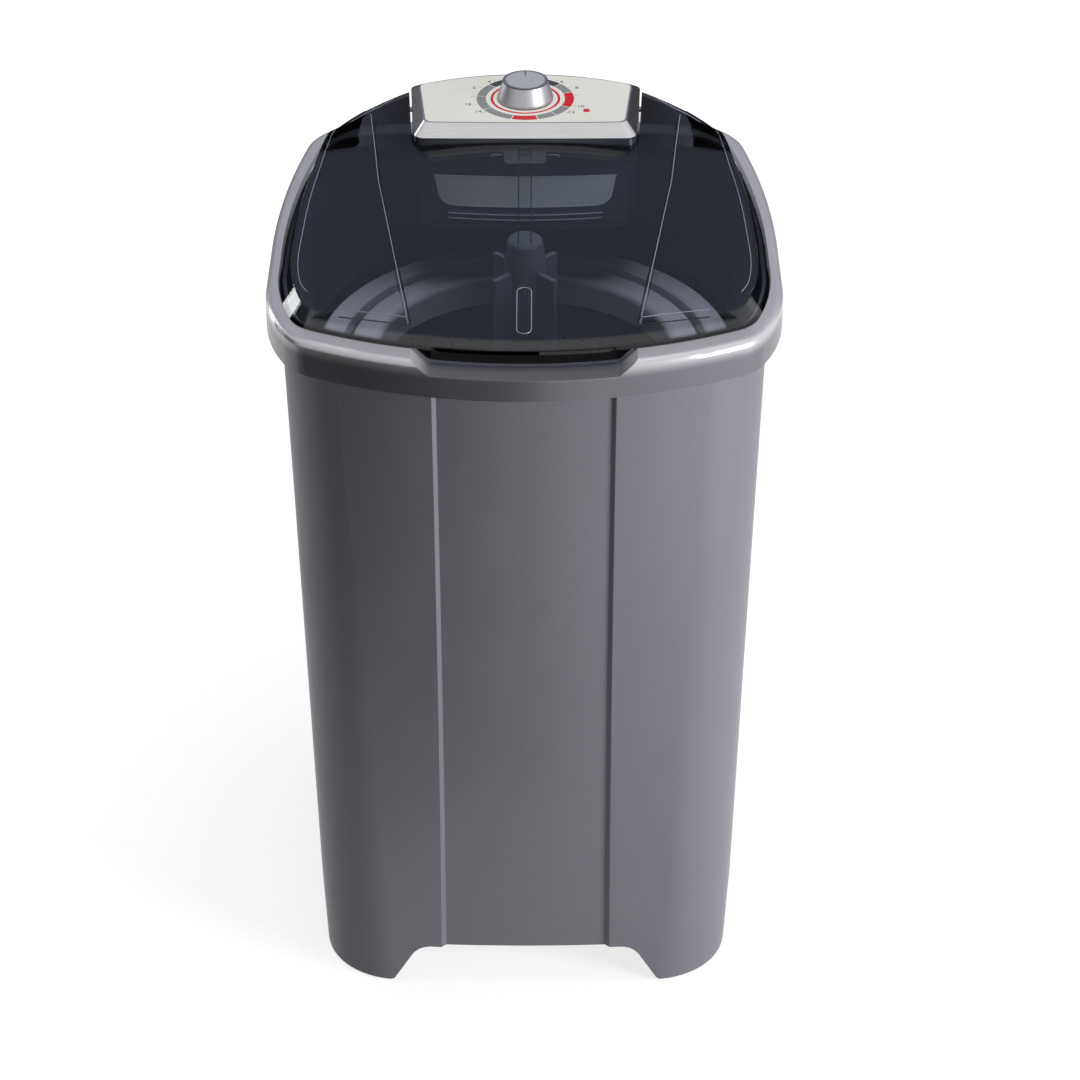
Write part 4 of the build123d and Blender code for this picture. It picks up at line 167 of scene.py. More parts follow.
@dataclass(frozen=True)
class MouldedFinish:
    """A moulded or painted surface with a fine grain, soft colour drift and uneven gloss.

    Painted shade may darken its colour downwards, between two heights.
    """

    name: str
    colour: str
    drift_colour: str
    roughness: float
    metallic: float = 0.0
    coat: float = 0.0
    coat_roughness: float = 0.12
    grain_mm: float = 1.2
    grain_depth_mm: float = 0.02
    drift_mm: float = 140.0
    gloss_spread: float = 0.06
    specular: float = 0.5
    painted_shade_colour: str = ""
    painted_shade_from: float = 0.0
    painted_shade_to: float = 0.0
    drift_detail: float = 2.0
    grain_detail: float = 3.0
    grain_roughness: float = 0.6
    least_roughness: float = 0.02

    def build(self) -> bpy.types.Material:
        """Builds the finish.

        Returns:
            The node material.
        """
        material, tree, output = new_material(self.name)
        place = add_node(tree, "ShaderNodeTexCoord").outputs["Object"]
        drift = add_node(tree, "ShaderNodeTexNoise", {"Vector": place}, Scale=1 / (self.drift_mm * MM),
                         Detail=self.drift_detail)
        colour = add_node(tree, "ShaderNodeMix", {"Factor": drift.outputs["Fac"]}, data_type="RGBA")
        colour.inputs[6].default_value = linear(self.colour)
        colour.inputs[7].default_value = linear(self.drift_colour)
        # Painted shade: the colour darkens downwards between two heights.
        if self.painted_shade_colour:
            height = add_node(tree, "ShaderNodeSeparateXYZ", {"Vector": place}).outputs["Z"]
            low = add_node(tree, "ShaderNodeMapRange", {"Value": height}, interpolation_type="SMOOTHSTEP",
                           From_Min=self.painted_shade_to, From_Max=self.painted_shade_from, To_Min=1.0, To_Max=0.0)
            shaded = add_node(tree, "ShaderNodeMix", {"Factor": low.outputs["Result"], 6: colour.outputs[2]},
                              data_type="RGBA")
            shaded.inputs[7].default_value = linear(self.painted_shade_colour)
            colour = shaded
        grain = add_node(tree, "ShaderNodeTexNoise", {"Vector": place}, Scale=1 / (self.grain_mm * MM),
                         Detail=self.grain_detail, Roughness=self.grain_roughness)
        bump = add_node(tree, "ShaderNodeBump", {"Height": grain.outputs["Fac"]}, Strength=1.0,
                        Distance=self.grain_depth_mm * MM)
        gloss = add_node(tree, "ShaderNodeMapRange", {"Value": drift.outputs["Fac"]},
                         To_Min=max(self.least_roughness, self.roughness - self.gloss_spread),
                         To_Max=min(1.0, self.roughness + self.gloss_spread))
        shader = add_node(tree, "ShaderNodeBsdfPrincipled",
                          {"Base Color": colour.outputs[2], "Roughness": gloss.outputs["Result"],
                           "Normal": bump.outputs["Normal"]},
                          Metallic=self.metallic, Coat_Weight=self.coat, Coat_Roughness=self.coat_roughness,
                          Specular_IOR_Level=self.specular)
        tree.links.new(shader.outputs["BSDF"], output.inputs["Surface"])
        return material


@dataclass(frozen=True)
class BrushedFinish:
    """Metal or metallised plastic with streaks along one direction.

    The streaks are drawn coarser than real ones, so that they show in a picture of the whole machine.
    """

    name: str
    colour: str
    streak_colour: str
    roughness: float
    metallic: float = 1.0
    along: tuple[float, float, float] = (1.0, 0.0, 0.0)
    streak_mm: float = 0.8
    streak_length_mm: float = 60.0
    streak_detail: float = 2.0
    depth_mm: float = 0.008
    gloss_spread: float = 0.08
    least_roughness: float = 0.04

    def build(self) -> bpy.types.Material:
        """Builds the finish.

        Returns:
            The node material.
        """
        material, tree, output = new_material(self.name)
        place = add_node(tree, "ShaderNodeTexCoord").outputs["Object"]
        fine = 1 / (self.streak_mm * MM)
        long = 1 / (self.streak_length_mm * MM)
        scale = tuple(long if share else fine for share in self.along)
        stretched = add_node(tree, "ShaderNodeMapping", {"Vector": place}, Scale=scale)
        streaks = add_node(tree, "ShaderNodeTexNoise", {"Vector": stretched.outputs["Vector"]}, Scale=1.0,
                           Detail=self.streak_detail)
        colour = add_node(tree, "ShaderNodeMix", {"Factor": streaks.outputs["Fac"]}, data_type="RGBA")
        colour.inputs[6].default_value = linear(self.colour)
        colour.inputs[7].default_value = linear(self.streak_colour)
        gloss = add_node(tree, "ShaderNodeMapRange", {"Value": streaks.outputs["Fac"]},
                         To_Min=max(self.least_roughness, self.roughness - self.gloss_spread),
                         To_Max=self.roughness + self.gloss_spread)
        bump = add_node(tree, "ShaderNodeBump", {"Height": streaks.outputs["Fac"]}, Strength=1.0,
                        Distance=self.depth_mm * MM)
        shader = add_node(tree, "ShaderNodeBsdfPrincipled",
                          {"Base Color": colour.outputs[2], "Roughness": gloss.outputs["Result"],
                           "Normal": bump.outputs["Normal"]},
                          Metallic=self.metallic)
        tree.links.new(shader.outputs["BSDF"], output.inputs["Surface"])
        return material


@dataclass(frozen=True)
class SpunFinish:
    """Metallised plastic whose streaks stand upright round a vertical axis, as on a turned knob.

    The streaks are drawn coarser than real ones, so that they show.
    """

    name: str
    colour: str
    streak_colour: str
    roughness: float
    centre: tuple[float, float]
    streaks_round: float = 26.0
    streak_detail: float = 6.0
    streak_roughness: float = 0.7

    def build(self) -> bpy.types.Material:
        """Builds the finish.

        Returns:
            The node material.
        """
        material, tree, output = new_material(self.name)
        place = add_node(tree, "ShaderNodeTexCoord").outputs["Object"]
        parts = add_node(tree, "ShaderNodeSeparateXYZ", {"Vector": place})
        east = add_node(tree, "ShaderNodeMath", {0: parts.outputs["X"]}, operation="SUBTRACT")
        east.inputs[1].default_value = self.centre[0]
        north = add_node(tree, "ShaderNodeMath", {0: parts.outputs["Y"]}, operation="SUBTRACT")
        north.inputs[1].default_value = self.centre[1]
        turn = add_node(tree, "ShaderNodeMath", {0: north.outputs[0], 1: east.outputs[0]},
                        operation="ARCTAN2")
        streaks = add_node(tree, "ShaderNodeTexNoise", {"W": turn.outputs[0]}, noise_dimensions="1D",
                           Scale=self.streaks_round / math.tau, Detail=self.streak_detail,
                           Roughness=self.streak_roughness)
        colour = add_node(tree, "ShaderNodeMix", {"Factor": streaks.outputs["Fac"]}, data_type="RGBA")
        colour.inputs[6].default_value = linear(self.colour)
        colour.inputs[7].default_value = linear(self.streak_colour)
        shader = add_node(tree, "ShaderNodeBsdfPrincipled", {"Base Color": colour.outputs[2]},
                          Metallic=1.0, Roughness=self.roughness)
        tree.links.new(shader.outputs["BSDF"], output.inputs["Surface"])
        return material


@dataclass(frozen=True)
class SmokedFinish:
    """Smoked clear plastic, dark where it is seen edge on; painted shade darkens its skirt and its rear.

    The soft ripple of its moulded surface bends what it mirrors.
    """

    name: str = "smoked_san_moulded"
    tint: str = "#e6e8ed"
    edge_and_shade_tint: str = "#14161d"
    skirt_shade_height: float = 0.8405
    skirt_shade_fade: float = 0.0055
    rear_shade_from: float = 0.075
    rear_shade_to: float = 0.215
    rear_shade_share: float = 0.80
    edge_power: float = 4.0
    roughness: float = 0.03
    head_on_mirror: float = 0.042
    mirror_power: float = 5.0
    ripple_mm: float = 45.0
    ripple_depth_mm: float = 0.12
    ripple_detail: float = 1.0

    def build(self) -> bpy.types.Material:
        """Builds the finish.

        Returns:
            The node material.
        """
        material, tree, output = new_material(self.name)
        place = add_node(tree, "ShaderNodeTexCoord").outputs["Object"]
        parts = add_node(tree, "ShaderNodeSeparateXYZ", {"Vector": place})
        # Painted shade: the tint darkens towards the rear and down the skirt, besides where the plastic is
        # seen edge on.
        rear = add_node(tree, "ShaderNodeMapRange", {"Value": parts.outputs["Y"]},
                        interpolation_type="SMOOTHSTEP", From_Min=self.rear_shade_from, From_Max=self.rear_shade_to,
                        To_Min=0.0, To_Max=self.rear_shade_share)
        skirt = add_node(tree, "ShaderNodeMapRange", {"Value": parts.outputs["Z"]},
                         interpolation_type="SMOOTHSTEP", From_Min=self.skirt_shade_height,
                         From_Max=self.skirt_shade_height + self.skirt_shade_fade, To_Min=1.0, To_Max=0.0)
        facing = add_node(tree, "ShaderNodeLayerWeight", Blend=0.5).outputs["Facing"]
        grazing = add_node(tree, "ShaderNodeMath", {0: facing}, operation="POWER")
        grazing.inputs[1].default_value = self.edge_power
        dark = add_node(tree, "ShaderNodeMath", {0: grazing.outputs[0], 1: skirt.outputs["Result"]},
                        operation="MAXIMUM")
        dark = add_node(tree, "ShaderNodeMath", {0: dark.outputs[0], 1: rear.outputs["Result"]},
                        operation="MAXIMUM")
        tint = add_node(tree, "ShaderNodeMix", {"Factor": dark.outputs[0]}, data_type="RGBA")
        tint.inputs[6].default_value = linear(self.tint)
        tint.inputs[7].default_value = linear(self.edge_and_shade_tint)
        ripple = add_node(tree, "ShaderNodeTexNoise", {"Vector": place}, Scale=1 / (self.ripple_mm * MM),
                          Detail=self.ripple_detail)
        bump = add_node(tree, "ShaderNodeBump", {"Height": ripple.outputs["Fac"]}, Strength=1.0,
                        Distance=self.ripple_depth_mm * MM)
        clear = add_node(tree, "ShaderNodeBsdfTransparent", {"Color": tint.outputs[2]})
        mirror = add_node(tree, "ShaderNodeBsdfAnisotropic", {"Normal": bump.outputs["Normal"]},
                          Roughness=self.roughness)
        slant = add_node(tree, "ShaderNodeMath", {0: facing}, operation="POWER")
        slant.inputs[1].default_value = self.mirror_power
        share = add_node(tree, "ShaderNodeMath", {0: slant.outputs[0]}, operation="MULTIPLY_ADD")
        share.inputs[1].default_value = 1.0 - self.head_on_mirror
        share.inputs[2].default_value = self.head_on_mirror
        mix = add_node(tree, "ShaderNodeMixShader", {0: share.outputs[0], 1: clear.outputs["BSDF"],
                                                     2: mirror.outputs["BSDF"]})
        tree.links.new(mix.outputs["Shader"], output.inputs["Surface"])
        return material


@dataclass(frozen=True)
class StudioFloor:
    """A pale paper floor that the camera and reflections see as white, with the object's shadow."""

    name: str = "studio_paper"
    colour: str = "#b8b8b8"
    near_lift: float = 0.80
    far_lift: float = 1.0
    near_reach: float = 1.0
    far_reach: float = 2.4

    def build(self) -> bpy.types.Material:
        """Builds the finish.

        Returns:
            The node material.
        """
        material, tree, output = new_material(self.name)
        place = add_node(tree, "ShaderNodeTexCoord").outputs["Object"]
        reach = add_node(tree, "ShaderNodeVectorMath", {0: place}, operation="LENGTH")
        lift = add_node(tree, "ShaderNodeMapRange", {"Value": reach.outputs["Value"]},
                        interpolation_type="SMOOTHSTEP", From_Min=self.near_reach, From_Max=self.far_reach,
                        To_Min=self.near_lift, To_Max=self.far_lift)
        glow = add_node(tree, "ShaderNodeMath", {0: seen_rays(tree), 1: lift.outputs["Result"]},
                        operation="MULTIPLY")
        paper = add_node(tree, "ShaderNodeBsdfDiffuse", Color=linear(self.colour))
        light = add_node(tree, "ShaderNodeEmission", {"Strength": glow.outputs[0]})
        both = add_node(tree, "ShaderNodeAddShader", {0: paper.outputs["BSDF"], 1: light.outputs["Emission"]})
        tree.links.new(both.outputs["Shader"], output.inputs["Surface"])
        return material


@dataclass(frozen=True)
class StudioFlag:
    """Cloth on a frame, which only reflections see."""

    name: str
    colour: str

    def build(self) -> bpy.types.Material:
        """Builds the finish.

        Returns:
            The node material.
        """
        material, tree, output = new_material(self.name)
        cloth = add_node(tree, "ShaderNodeEmission", Color=linear(self.colour), Strength=1.0)
        tree.links.new(cloth.outputs["Emission"], output.inputs["Surface"])
        return material


class Finish(Enum):
    """Every finish of the machine, by the part of it that is made that way."""

    # Sheet steel, powder coated in graphite with a metal flake: satin, with a fine pebble that breaks up
    # highlights. The pebble is drawn coarser than a real one, so that it shows.
    CABINET = MouldedFinish("powder_coated_steel_graphite", "#7c7b84", "#83828b", 0.46, metallic=0.12,
                            grain_mm=2.6, grain_depth_mm=0.12, specular=0.3)
    # The same paint on the flat rear cover, a little flatter.
    COVER = MouldedFinish("powder_coated_steel_cover", "#6b6b72", "#73737a", 0.5, metallic=0.3,
                          grain_mm=2.6, grain_depth_mm=0.07)
    # ABS, spray-metallised and lacquered: bright on its rolled top; painted shade darkens it down its wall.
    RIM = MouldedFinish("lacquered_abs_silver", "#c4c3c8", "#cccbd0", 0.3, metallic=0.45, coat=0.1,
                        grain_mm=0.8, grain_depth_mm=0.006, specular=0.4, painted_shade_colour="#6f6e76",
                        painted_shade_from=0.8385, painted_shade_to=0.8200)
    # Polypropylene top deck, moulded in near-black blue with a half-gloss skin.
    DECK = MouldedFinish("moulded_polypropylene_night", "#20232d", "#272b36", 0.5, grain_depth_mm=0.002,
                         specular=0.25)
    # ABS in dark blue, moulded with a gloss skin: soft highlights on the housing.
    CONSOLE = MouldedFinish("gloss_abs_night_blue", "#2a2e39", "#313542", 0.3, coat=0.15,
                            grain_depth_mm=0.004)
    # The same ABS without its gloss skin: flat and darker.
    CONSOLE_FLOOR = MouldedFinish("moulded_abs_night_blue", "#252832", "#2a2e38", 0.45)
    # ABS, electroplated in satin chrome: fine streaks from side to side.
    BEZEL = BrushedFinish("satin_chromed_abs", "#b9b9bc", "#d6d6d9", 0.3, streak_mm=0.6, depth_mm=0.003)
    # Polycarbonate sheet, screen printed: an even, warm off-white with a soft sheen.
    PANEL = MouldedFinish("screen_printed_polycarbonate", "#e4e3dc", "#e9e8e1", 0.35, grain_depth_mm=0.002,
                          gloss_spread=0.03, specular=0.3)
    # ABS, metallised: upright streaks round the knob's wall.
    KNOB = SpunFinish("metallised_abs_knob", "#96979c", "#bdbdc1", 0.45, (0.0, 0.204))
    # Aluminium disc, spun: pale, with very fine streaks.
    KNOB_CAP = BrushedFinish("spun_aluminium_disc", "#c6c8ca", "#d2d3d5", 0.42, metallic=0.5, streak_mm=0.4)
    # Screen ink, grey: flat colour that hardly stands off the panel.
    INK_GREY = MouldedFinish("grey_screen_ink", "#85888a", "#8b8e90", 0.45, grain_depth_mm=0.002)
    # Screen ink, red: flat, a little glossier than the grey.
    INK_RED = MouldedFinish("red_screen_ink", "#cf2230", "#c81c2a", 0.4, grain_depth_mm=0.002)
    # Screen ink, near black: flat numbers and sectors. The same colour draws the thin line of painted shade
    # at the knob's edge.
    DARK_INK_AND_EDGE_SHADE = MouldedFinish("dark_screen_ink_and_painted_edge_shade", "#3a3b3f", "#404145", 0.45, grain_depth_mm=0.002)
    # Polycarbonate lens, moulded: red with a hard highlight.
    LAMP = MouldedFinish("moulded_red_lens", "#d4202a", "#b8141e", 0.12, coat=0.5, grain_depth_mm=0.002)
    # ABS in dark blue, moulded: the filter's front, half gloss.
    FILTER = MouldedFinish("moulded_abs_filter_front", "#3d424e", "#444955", 0.22, coat=0.25,
                           grain_depth_mm=0.004)
    # Painted highlights: the two bright lines along the filter's lip, pale and a little metallic.
    FILTER_LIP_HIGHLIGHT = MouldedFinish("filter_lip_painted_highlight", "#d6d8da", "#c9ccce", 0.25, metallic=0.4)
    # ABS, electroplated and brushed: a soft silver.
    FILTER_TAB = BrushedFinish("satin_chromed_abs_tab", "#c6c4c9", "#d8d6da", 0.3, metallic=0.8)
    # Polycarbonate window, lightly frosted: pale green-grey once it is seen through the smoked lid.
    WINDOW = MouldedFinish("tinted_pc_window", "#ecf3f0", "#f0f6f3", 0.3, coat=0.1, grain_depth_mm=0.003)
    # Painted highlights on moulded edges: thin, even, pale lines.
    PALE_EDGE_HIGHLIGHT = MouldedFinish("pale_painted_edge_highlight", "#e6ecea", "#dfe6e4", 0.3, grain_depth_mm=0.002)
    # SAN, smoked and moulded clear: one sees through it in front; painted shade darkens it towards the hinge
    # and down its skirt.
    LID = SmokedFinish()
    # A near-black painted line at the lid's corners and creases: painted shade that stands in for the dark of
    # clear plastic seen edge on.
    LID_EDGE = MouldedFinish("smoked_san_edge", "#14161c", "#191b22", 0.12, grain_depth_mm=0.001)
    # A pale painted highlight beside the dark line, along the lid's corners, creases and the oblong mark's
    # outline.
    LID_GLINT = MouldedFinish("smoked_san_painted_glint", "#8d93a4", "#9aa0b0", 0.15, grain_depth_mm=0.001)
    # Shadowed bores in the basket's sheet.
    BORE = MouldedFinish("punched_sheet_bore", "#1b1d21", "#222429", 0.6, grain_depth_mm=0.002)
    # Polypropylene, moulded: milky grey-white, slightly chalky.
    TUB = MouldedFinish("moulded_polypropylene_pale", "#c9cbcf", "#d2d4d8", 0.4)
    # The same polypropylene, paler and a little glossier.
    RING = MouldedFinish("moulded_polypropylene_ring", "#e2e3e4", "#e8e9ea", 0.3, coat=0.1)
    # Polypropylene, moulded with a grey dye: mid grey, half matt.
    AGITATOR = MouldedFinish("moulded_polypropylene_agitator", "#6d7079", "#767982", 0.4)
    # Stainless sheet, rolled: upright streaks and a soft metal sheen.
    BASKET = BrushedFinish("rolled_stainless_basket", "#8e9096", "#a2a4aa", 0.38, metallic=0.7,
                           along=(0.0, 0.0, 1.0), streak_mm=1.5, streak_length_mm=90.0)
    # Aluminium, die cast: dull, with a coarse grain.
    CAST = MouldedFinish("die_cast_aluminium", "#8d8f92", "#97999c", 0.5, metallic=0.9, grain_mm=1.5,
                         grain_depth_mm=0.05)
    # Steel, ground: bright, with fine streaks along its length.
    SHAFT = BrushedFinish("ground_steel_shaft", "#a9abae", "#bcbec1", 0.25, along=(0.0, 0.0, 1.0),
                          streak_mm=0.5)
    # Steel, zinc plated: bright, with a faint warm drift.
    FASTENER = MouldedFinish("zinc_plated_steel", "#a7a8aa", "#b3b2ac", 0.3, metallic=1.0,
                             grain_depth_mm=0.005)
    # Spring steel, black oxide: dark with a metal sheen.
    SPRING = MouldedFinish("black_oxide_spring_steel", "#3b3d41", "#46484c", 0.35, metallic=0.9)
    # Steel, painted dark grey: half matt.
    BRACKET = MouldedFinish("painted_steel_bracket", "#4b4e53", "#53565b", 0.45, metallic=0.2)
    # Nylon, moulded black: low gloss with a fine grain. The same finish draws the painted shade in the
    # screws' cross recesses.
    BLACK = MouldedFinish("moulded_black_nylon", "#17181a", "#1d1e20", 0.5, grain_depth_mm=0.03)
    # Polypropylene case, moulded: pale grey, half matt.
    CAPACITOR = MouldedFinish("moulded_capacitor_case", "#b9bab6", "#c2c3bf", 0.35)
    # EPDM rubber, moulded: near black and matt.
    RUBBER = MouldedFinish("moulded_epdm_rubber", "#141415", "#1b1b1c", 0.75, grain_mm=0.7,
                           grain_depth_mm=0.04)

    def material(self) -> bpy.types.Material:
        """Returns the finish's material, built once."""
        name = self.value.name
        return bpy.data.materials.get(name) or self.value.build()


# Mesh helpers


def mesh_object(name: str, fill: Callable[[bmesh.types.BMesh], None],
                smooth: bool = True) -> bpy.types.Object:
    """Makes an object at the origin from a function that fills a bmesh.

    Args:
        name: Object and mesh name.
        fill: Writes the geometry, in metres in the machine's frame.
        smooth: Shades it smooth, apart from its sharp edges.

    Returns:
        The linked object.
    """
    mesh = bpy.data.meshes.new(name)
    bm = bmesh.new()
    fill(bm)
    bmesh.ops.remove_doubles(bm, verts=bm.verts, dist=MERGE_DISTANCE)
    bmesh.ops.recalc_face_normals(bm, faces=bm.faces)
    for face in bm.faces:
        face.smooth = smooth
    for edge in bm.edges:
        if len(edge.link_faces) == 2 and edge.calc_face_angle(0.0) > math.radians(SHARP_EDGE_DEGREES):
            edge.smooth = False
    bm.to_mesh(mesh)
    bm.free()
    piece = bpy.data.objects.new(name, mesh)
    bpy.context.scene.collection.objects.link(piece)
    return piece


def ring_faces(bm: bmesh.types.BMesh, rings: Sequence[Sequence[Vector]], closed_path: bool = False) -> None:
    """Skins a row of point rings with quads, and closes the two ends of an open row.

    Args:
        bm: The bmesh that gets the faces.
        rings: Rings with the same number of points each.
        closed_path: Joins the last ring to the first.
    """
    rows = [[bm.verts.new(point) for point in ring] for ring in rings]
    count = len(rows[0])
    steps = len(rows) if closed_path else len(rows) - 1
    for i in range(steps):
        a, b = rows[i], rows[(i + 1) % len(rows)]
        for j in range(count):
            k = (j + 1) % count
            bm.faces.new((a[j], a[k], b[k], b[j]))
    if not closed_path:
        bm.faces.new(list(reversed(rows[0])))
        bm.faces.new(rows[-1])


def tube_rings(path: Sequence[Vector], radius: float | Sequence[float], sides: int, closed: bool = False,
               up: Vector = UP) -> list[list[Vector]]:
    """Rings of points round a path.

    Args:
        path: Points of the centre line.
        radius: One radius, or one for each point.
        sides: Points in each ring.
        closed: The path's end meets its start.
        up: A direction that the path never runs along.

    Returns:
        One ring of points for each path point.
    """
    rings = []
    last = len(path)
    for i, point in enumerate(path):
        before = path[i - 1] if closed or i else path[i]
        after = path[(i + 1) % last] if closed or i < last - 1 else path[i]
        along = (after - before).normalized()
        side = along.cross(up).normalized()
        top = side.cross(along).normalized()
        size = radius[i] if isinstance(radius, (list, tuple)) else radius
        rings.append([point + (side * math.cos(a) + top * math.sin(a)) * size
                      for a in (math.tau * j / sides for j in range(sides))])
    return rings


def sector(bm: bmesh.types.BMesh, centre: Vector, inner: float, outer: float, start: float, sweep: float,
           thickness: float, step: float = 4.0) -> None:
    """Adds a flat ring sector as a thin closed solid, lying on the centre's height.

    Args:
        bm: The bmesh that gets the faces.
        centre: Middle of the ring, on the surface that carries it.
        inner: Inner radius.
        outer: Outer radius.
        start: First angle in degrees, from +X towards +Y.
        sweep: Turn in degrees.
        thickness: Height above the centre.
        step: Degrees between two of its points.
    """
    steps = max(2, int(abs(sweep) / step))
    low, high = centre, centre + Vector((0, 0, thickness))
    rings = []
    for i in range(steps + 1):
        angle = math.radians(start + sweep * i / steps)
        way = Vector((math.cos(angle), math.sin(angle), 0))
        rings.append([low + way * inner, low + way * outer, high + way * outer, high + way * inner])
    ring_faces(bm, rings, closed_path=abs(sweep) >= 360)


def dress(piece: bpy.types.Object, finish: Finish) -> bpy.types.Object:
    """Gives a new piece its only material.

    Args:
        piece: The object.
        finish: Its finish.

    Returns:
        The same object.
    """
    piece.data.materials.clear()
    piece.data.materials.append(finish.material())
    return piece


def seat(piece: bpy.types.Object, finish: Finish, body: Body) -> bpy.types.Object:
    """Dresses a new piece and makes it ride on a body.

    Args:
        piece: The object.
        finish: Its finish.
        body: What it moves with.

    Returns:
        The same object.
    """
    dress(piece, finish)
    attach(piece, body.value)
    LOG.info("%s: %d faces on %s", piece.name, len(piece.data.polygons), body.value)
    return piece


def surface_tree(*names: str) -> BVHTree:
    """Builds a search tree over the surfaces of CAD nodes.

    Args:
        names: The nodes' names.

    Returns:
        The tree, in the machine's frame.
    """
    bpy.context.view_layer.update()
    points: list[Vector] = []
    faces: list[list[int]] = []
    for name in names:
        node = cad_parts[name]
        start = len(points)
        points.extend(node.matrix_world @ vertex.co for vertex in node.data.vertices)
        faces.extend([start + i for i in polygon.vertices] for polygon in node.data.polygons)
    return BVHTree.FromPolygons(points, faces)


def drape(tree: BVHTree, starts: Iterable[Vector], way: Vector) -> list[Vector]:
    """Projects points onto a surface.

    Args:
        tree: The surface.
        starts: Points outside it.
        way: Direction to move them, as a unit vector.

    Returns:
        The points where they meet the surface; those that miss it are left out.
    """
    hits = (tree.ray_cast(start, way)[0] for start in starts)
    return [hit for hit in hits if hit is not None]


def legs(corners: Sequence[tuple[float, float]], step: float = 0.004) -> list[tuple[float, float]]:
    """Divides straight legs between corners.

    Args:
        corners: The corners in order.
        step: Longest distance between two points.

    Returns:
        The corners and the points between them.
    """
    points = [corners[0]]
    for start, end in zip(corners, corners[1:]):
        count = max(1, math.ceil(math.dist(start, end) / step))
        points += [(start[0] + (end[0] - start[0]) * i / count, start[1] + (end[1] - start[1]) * i / count)
                   for i in range(1, count + 1)]
    return points


def bead(name: str, paths: Sequence[Sequence[Vector]], radius: float, finish: Finish, body: Body,
         up: Vector = UP) -> bpy.types.Object:
    """Lays thin round beads along open paths, as one piece.

    Args:
        name: The piece's name.
        paths: Centre lines.
        radius: Bead radius.
        finish: Its finish.
        body: What it moves with.
        up: A direction that no path runs along.

    Returns:
        The new object.
    """
    def fill(bm: bmesh.types.BMesh) -> None:
        """Adds one tube for each path.

        Args:
            bm: The bmesh that gets the faces.
        """
        for path in paths:
            if len(path) > 1:
                ring_faces(bm, tube_rings(path, radius, BEAD_SIDES, up=up))
    return seat(mesh_object(name, fill), finish, body)


def closed_bead(name: str, path: Sequence[Vector], radius: float) -> bpy.types.Object:
    """Lays one thin round bead along a closed path.

    Args:
        name: The piece's name.
        path: Centre line, without its first point repeated.
        radius: Bead radius.

    Returns:
        The new object, without a finish.
    """
    return mesh_object(name, lambda bm: ring_faces(
        bm, tube_rings(path, radius, RING_SIDES, closed=True), closed_path=True))


def dress_nodes(finishes: dict[Finish, Iterable[str]]) -> None:
    """Gives CAD nodes their finishes.

    Args:
        finishes: Finish to the names of the nodes that have it.
    """
    for finish, names in finishes.items():
        for name in names:
            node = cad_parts[name]
            for index in range(len(node.material_slots)):
                node.material_slots[index].material = finish.material()
            if not node.material_slots:
                node.data.materials.append(finish.material())
            LOG.info("%s: %s", name, finish.value.name)


# Sub-assemblies


@dataclass(frozen=True)
class Screw:
    """One screw of the rear cover, as measured on its node; its head faces +Y.

    Its middle lies on the head's top, its underside is the head's, and its end is the shank's.
    """

    middle: Vector
    end: float
    underside: float
    head_radius: float
    shank_radius: float

    @property
    def rise(self) -> float:
        """Height of the head."""
        return self.middle.y - self.underside


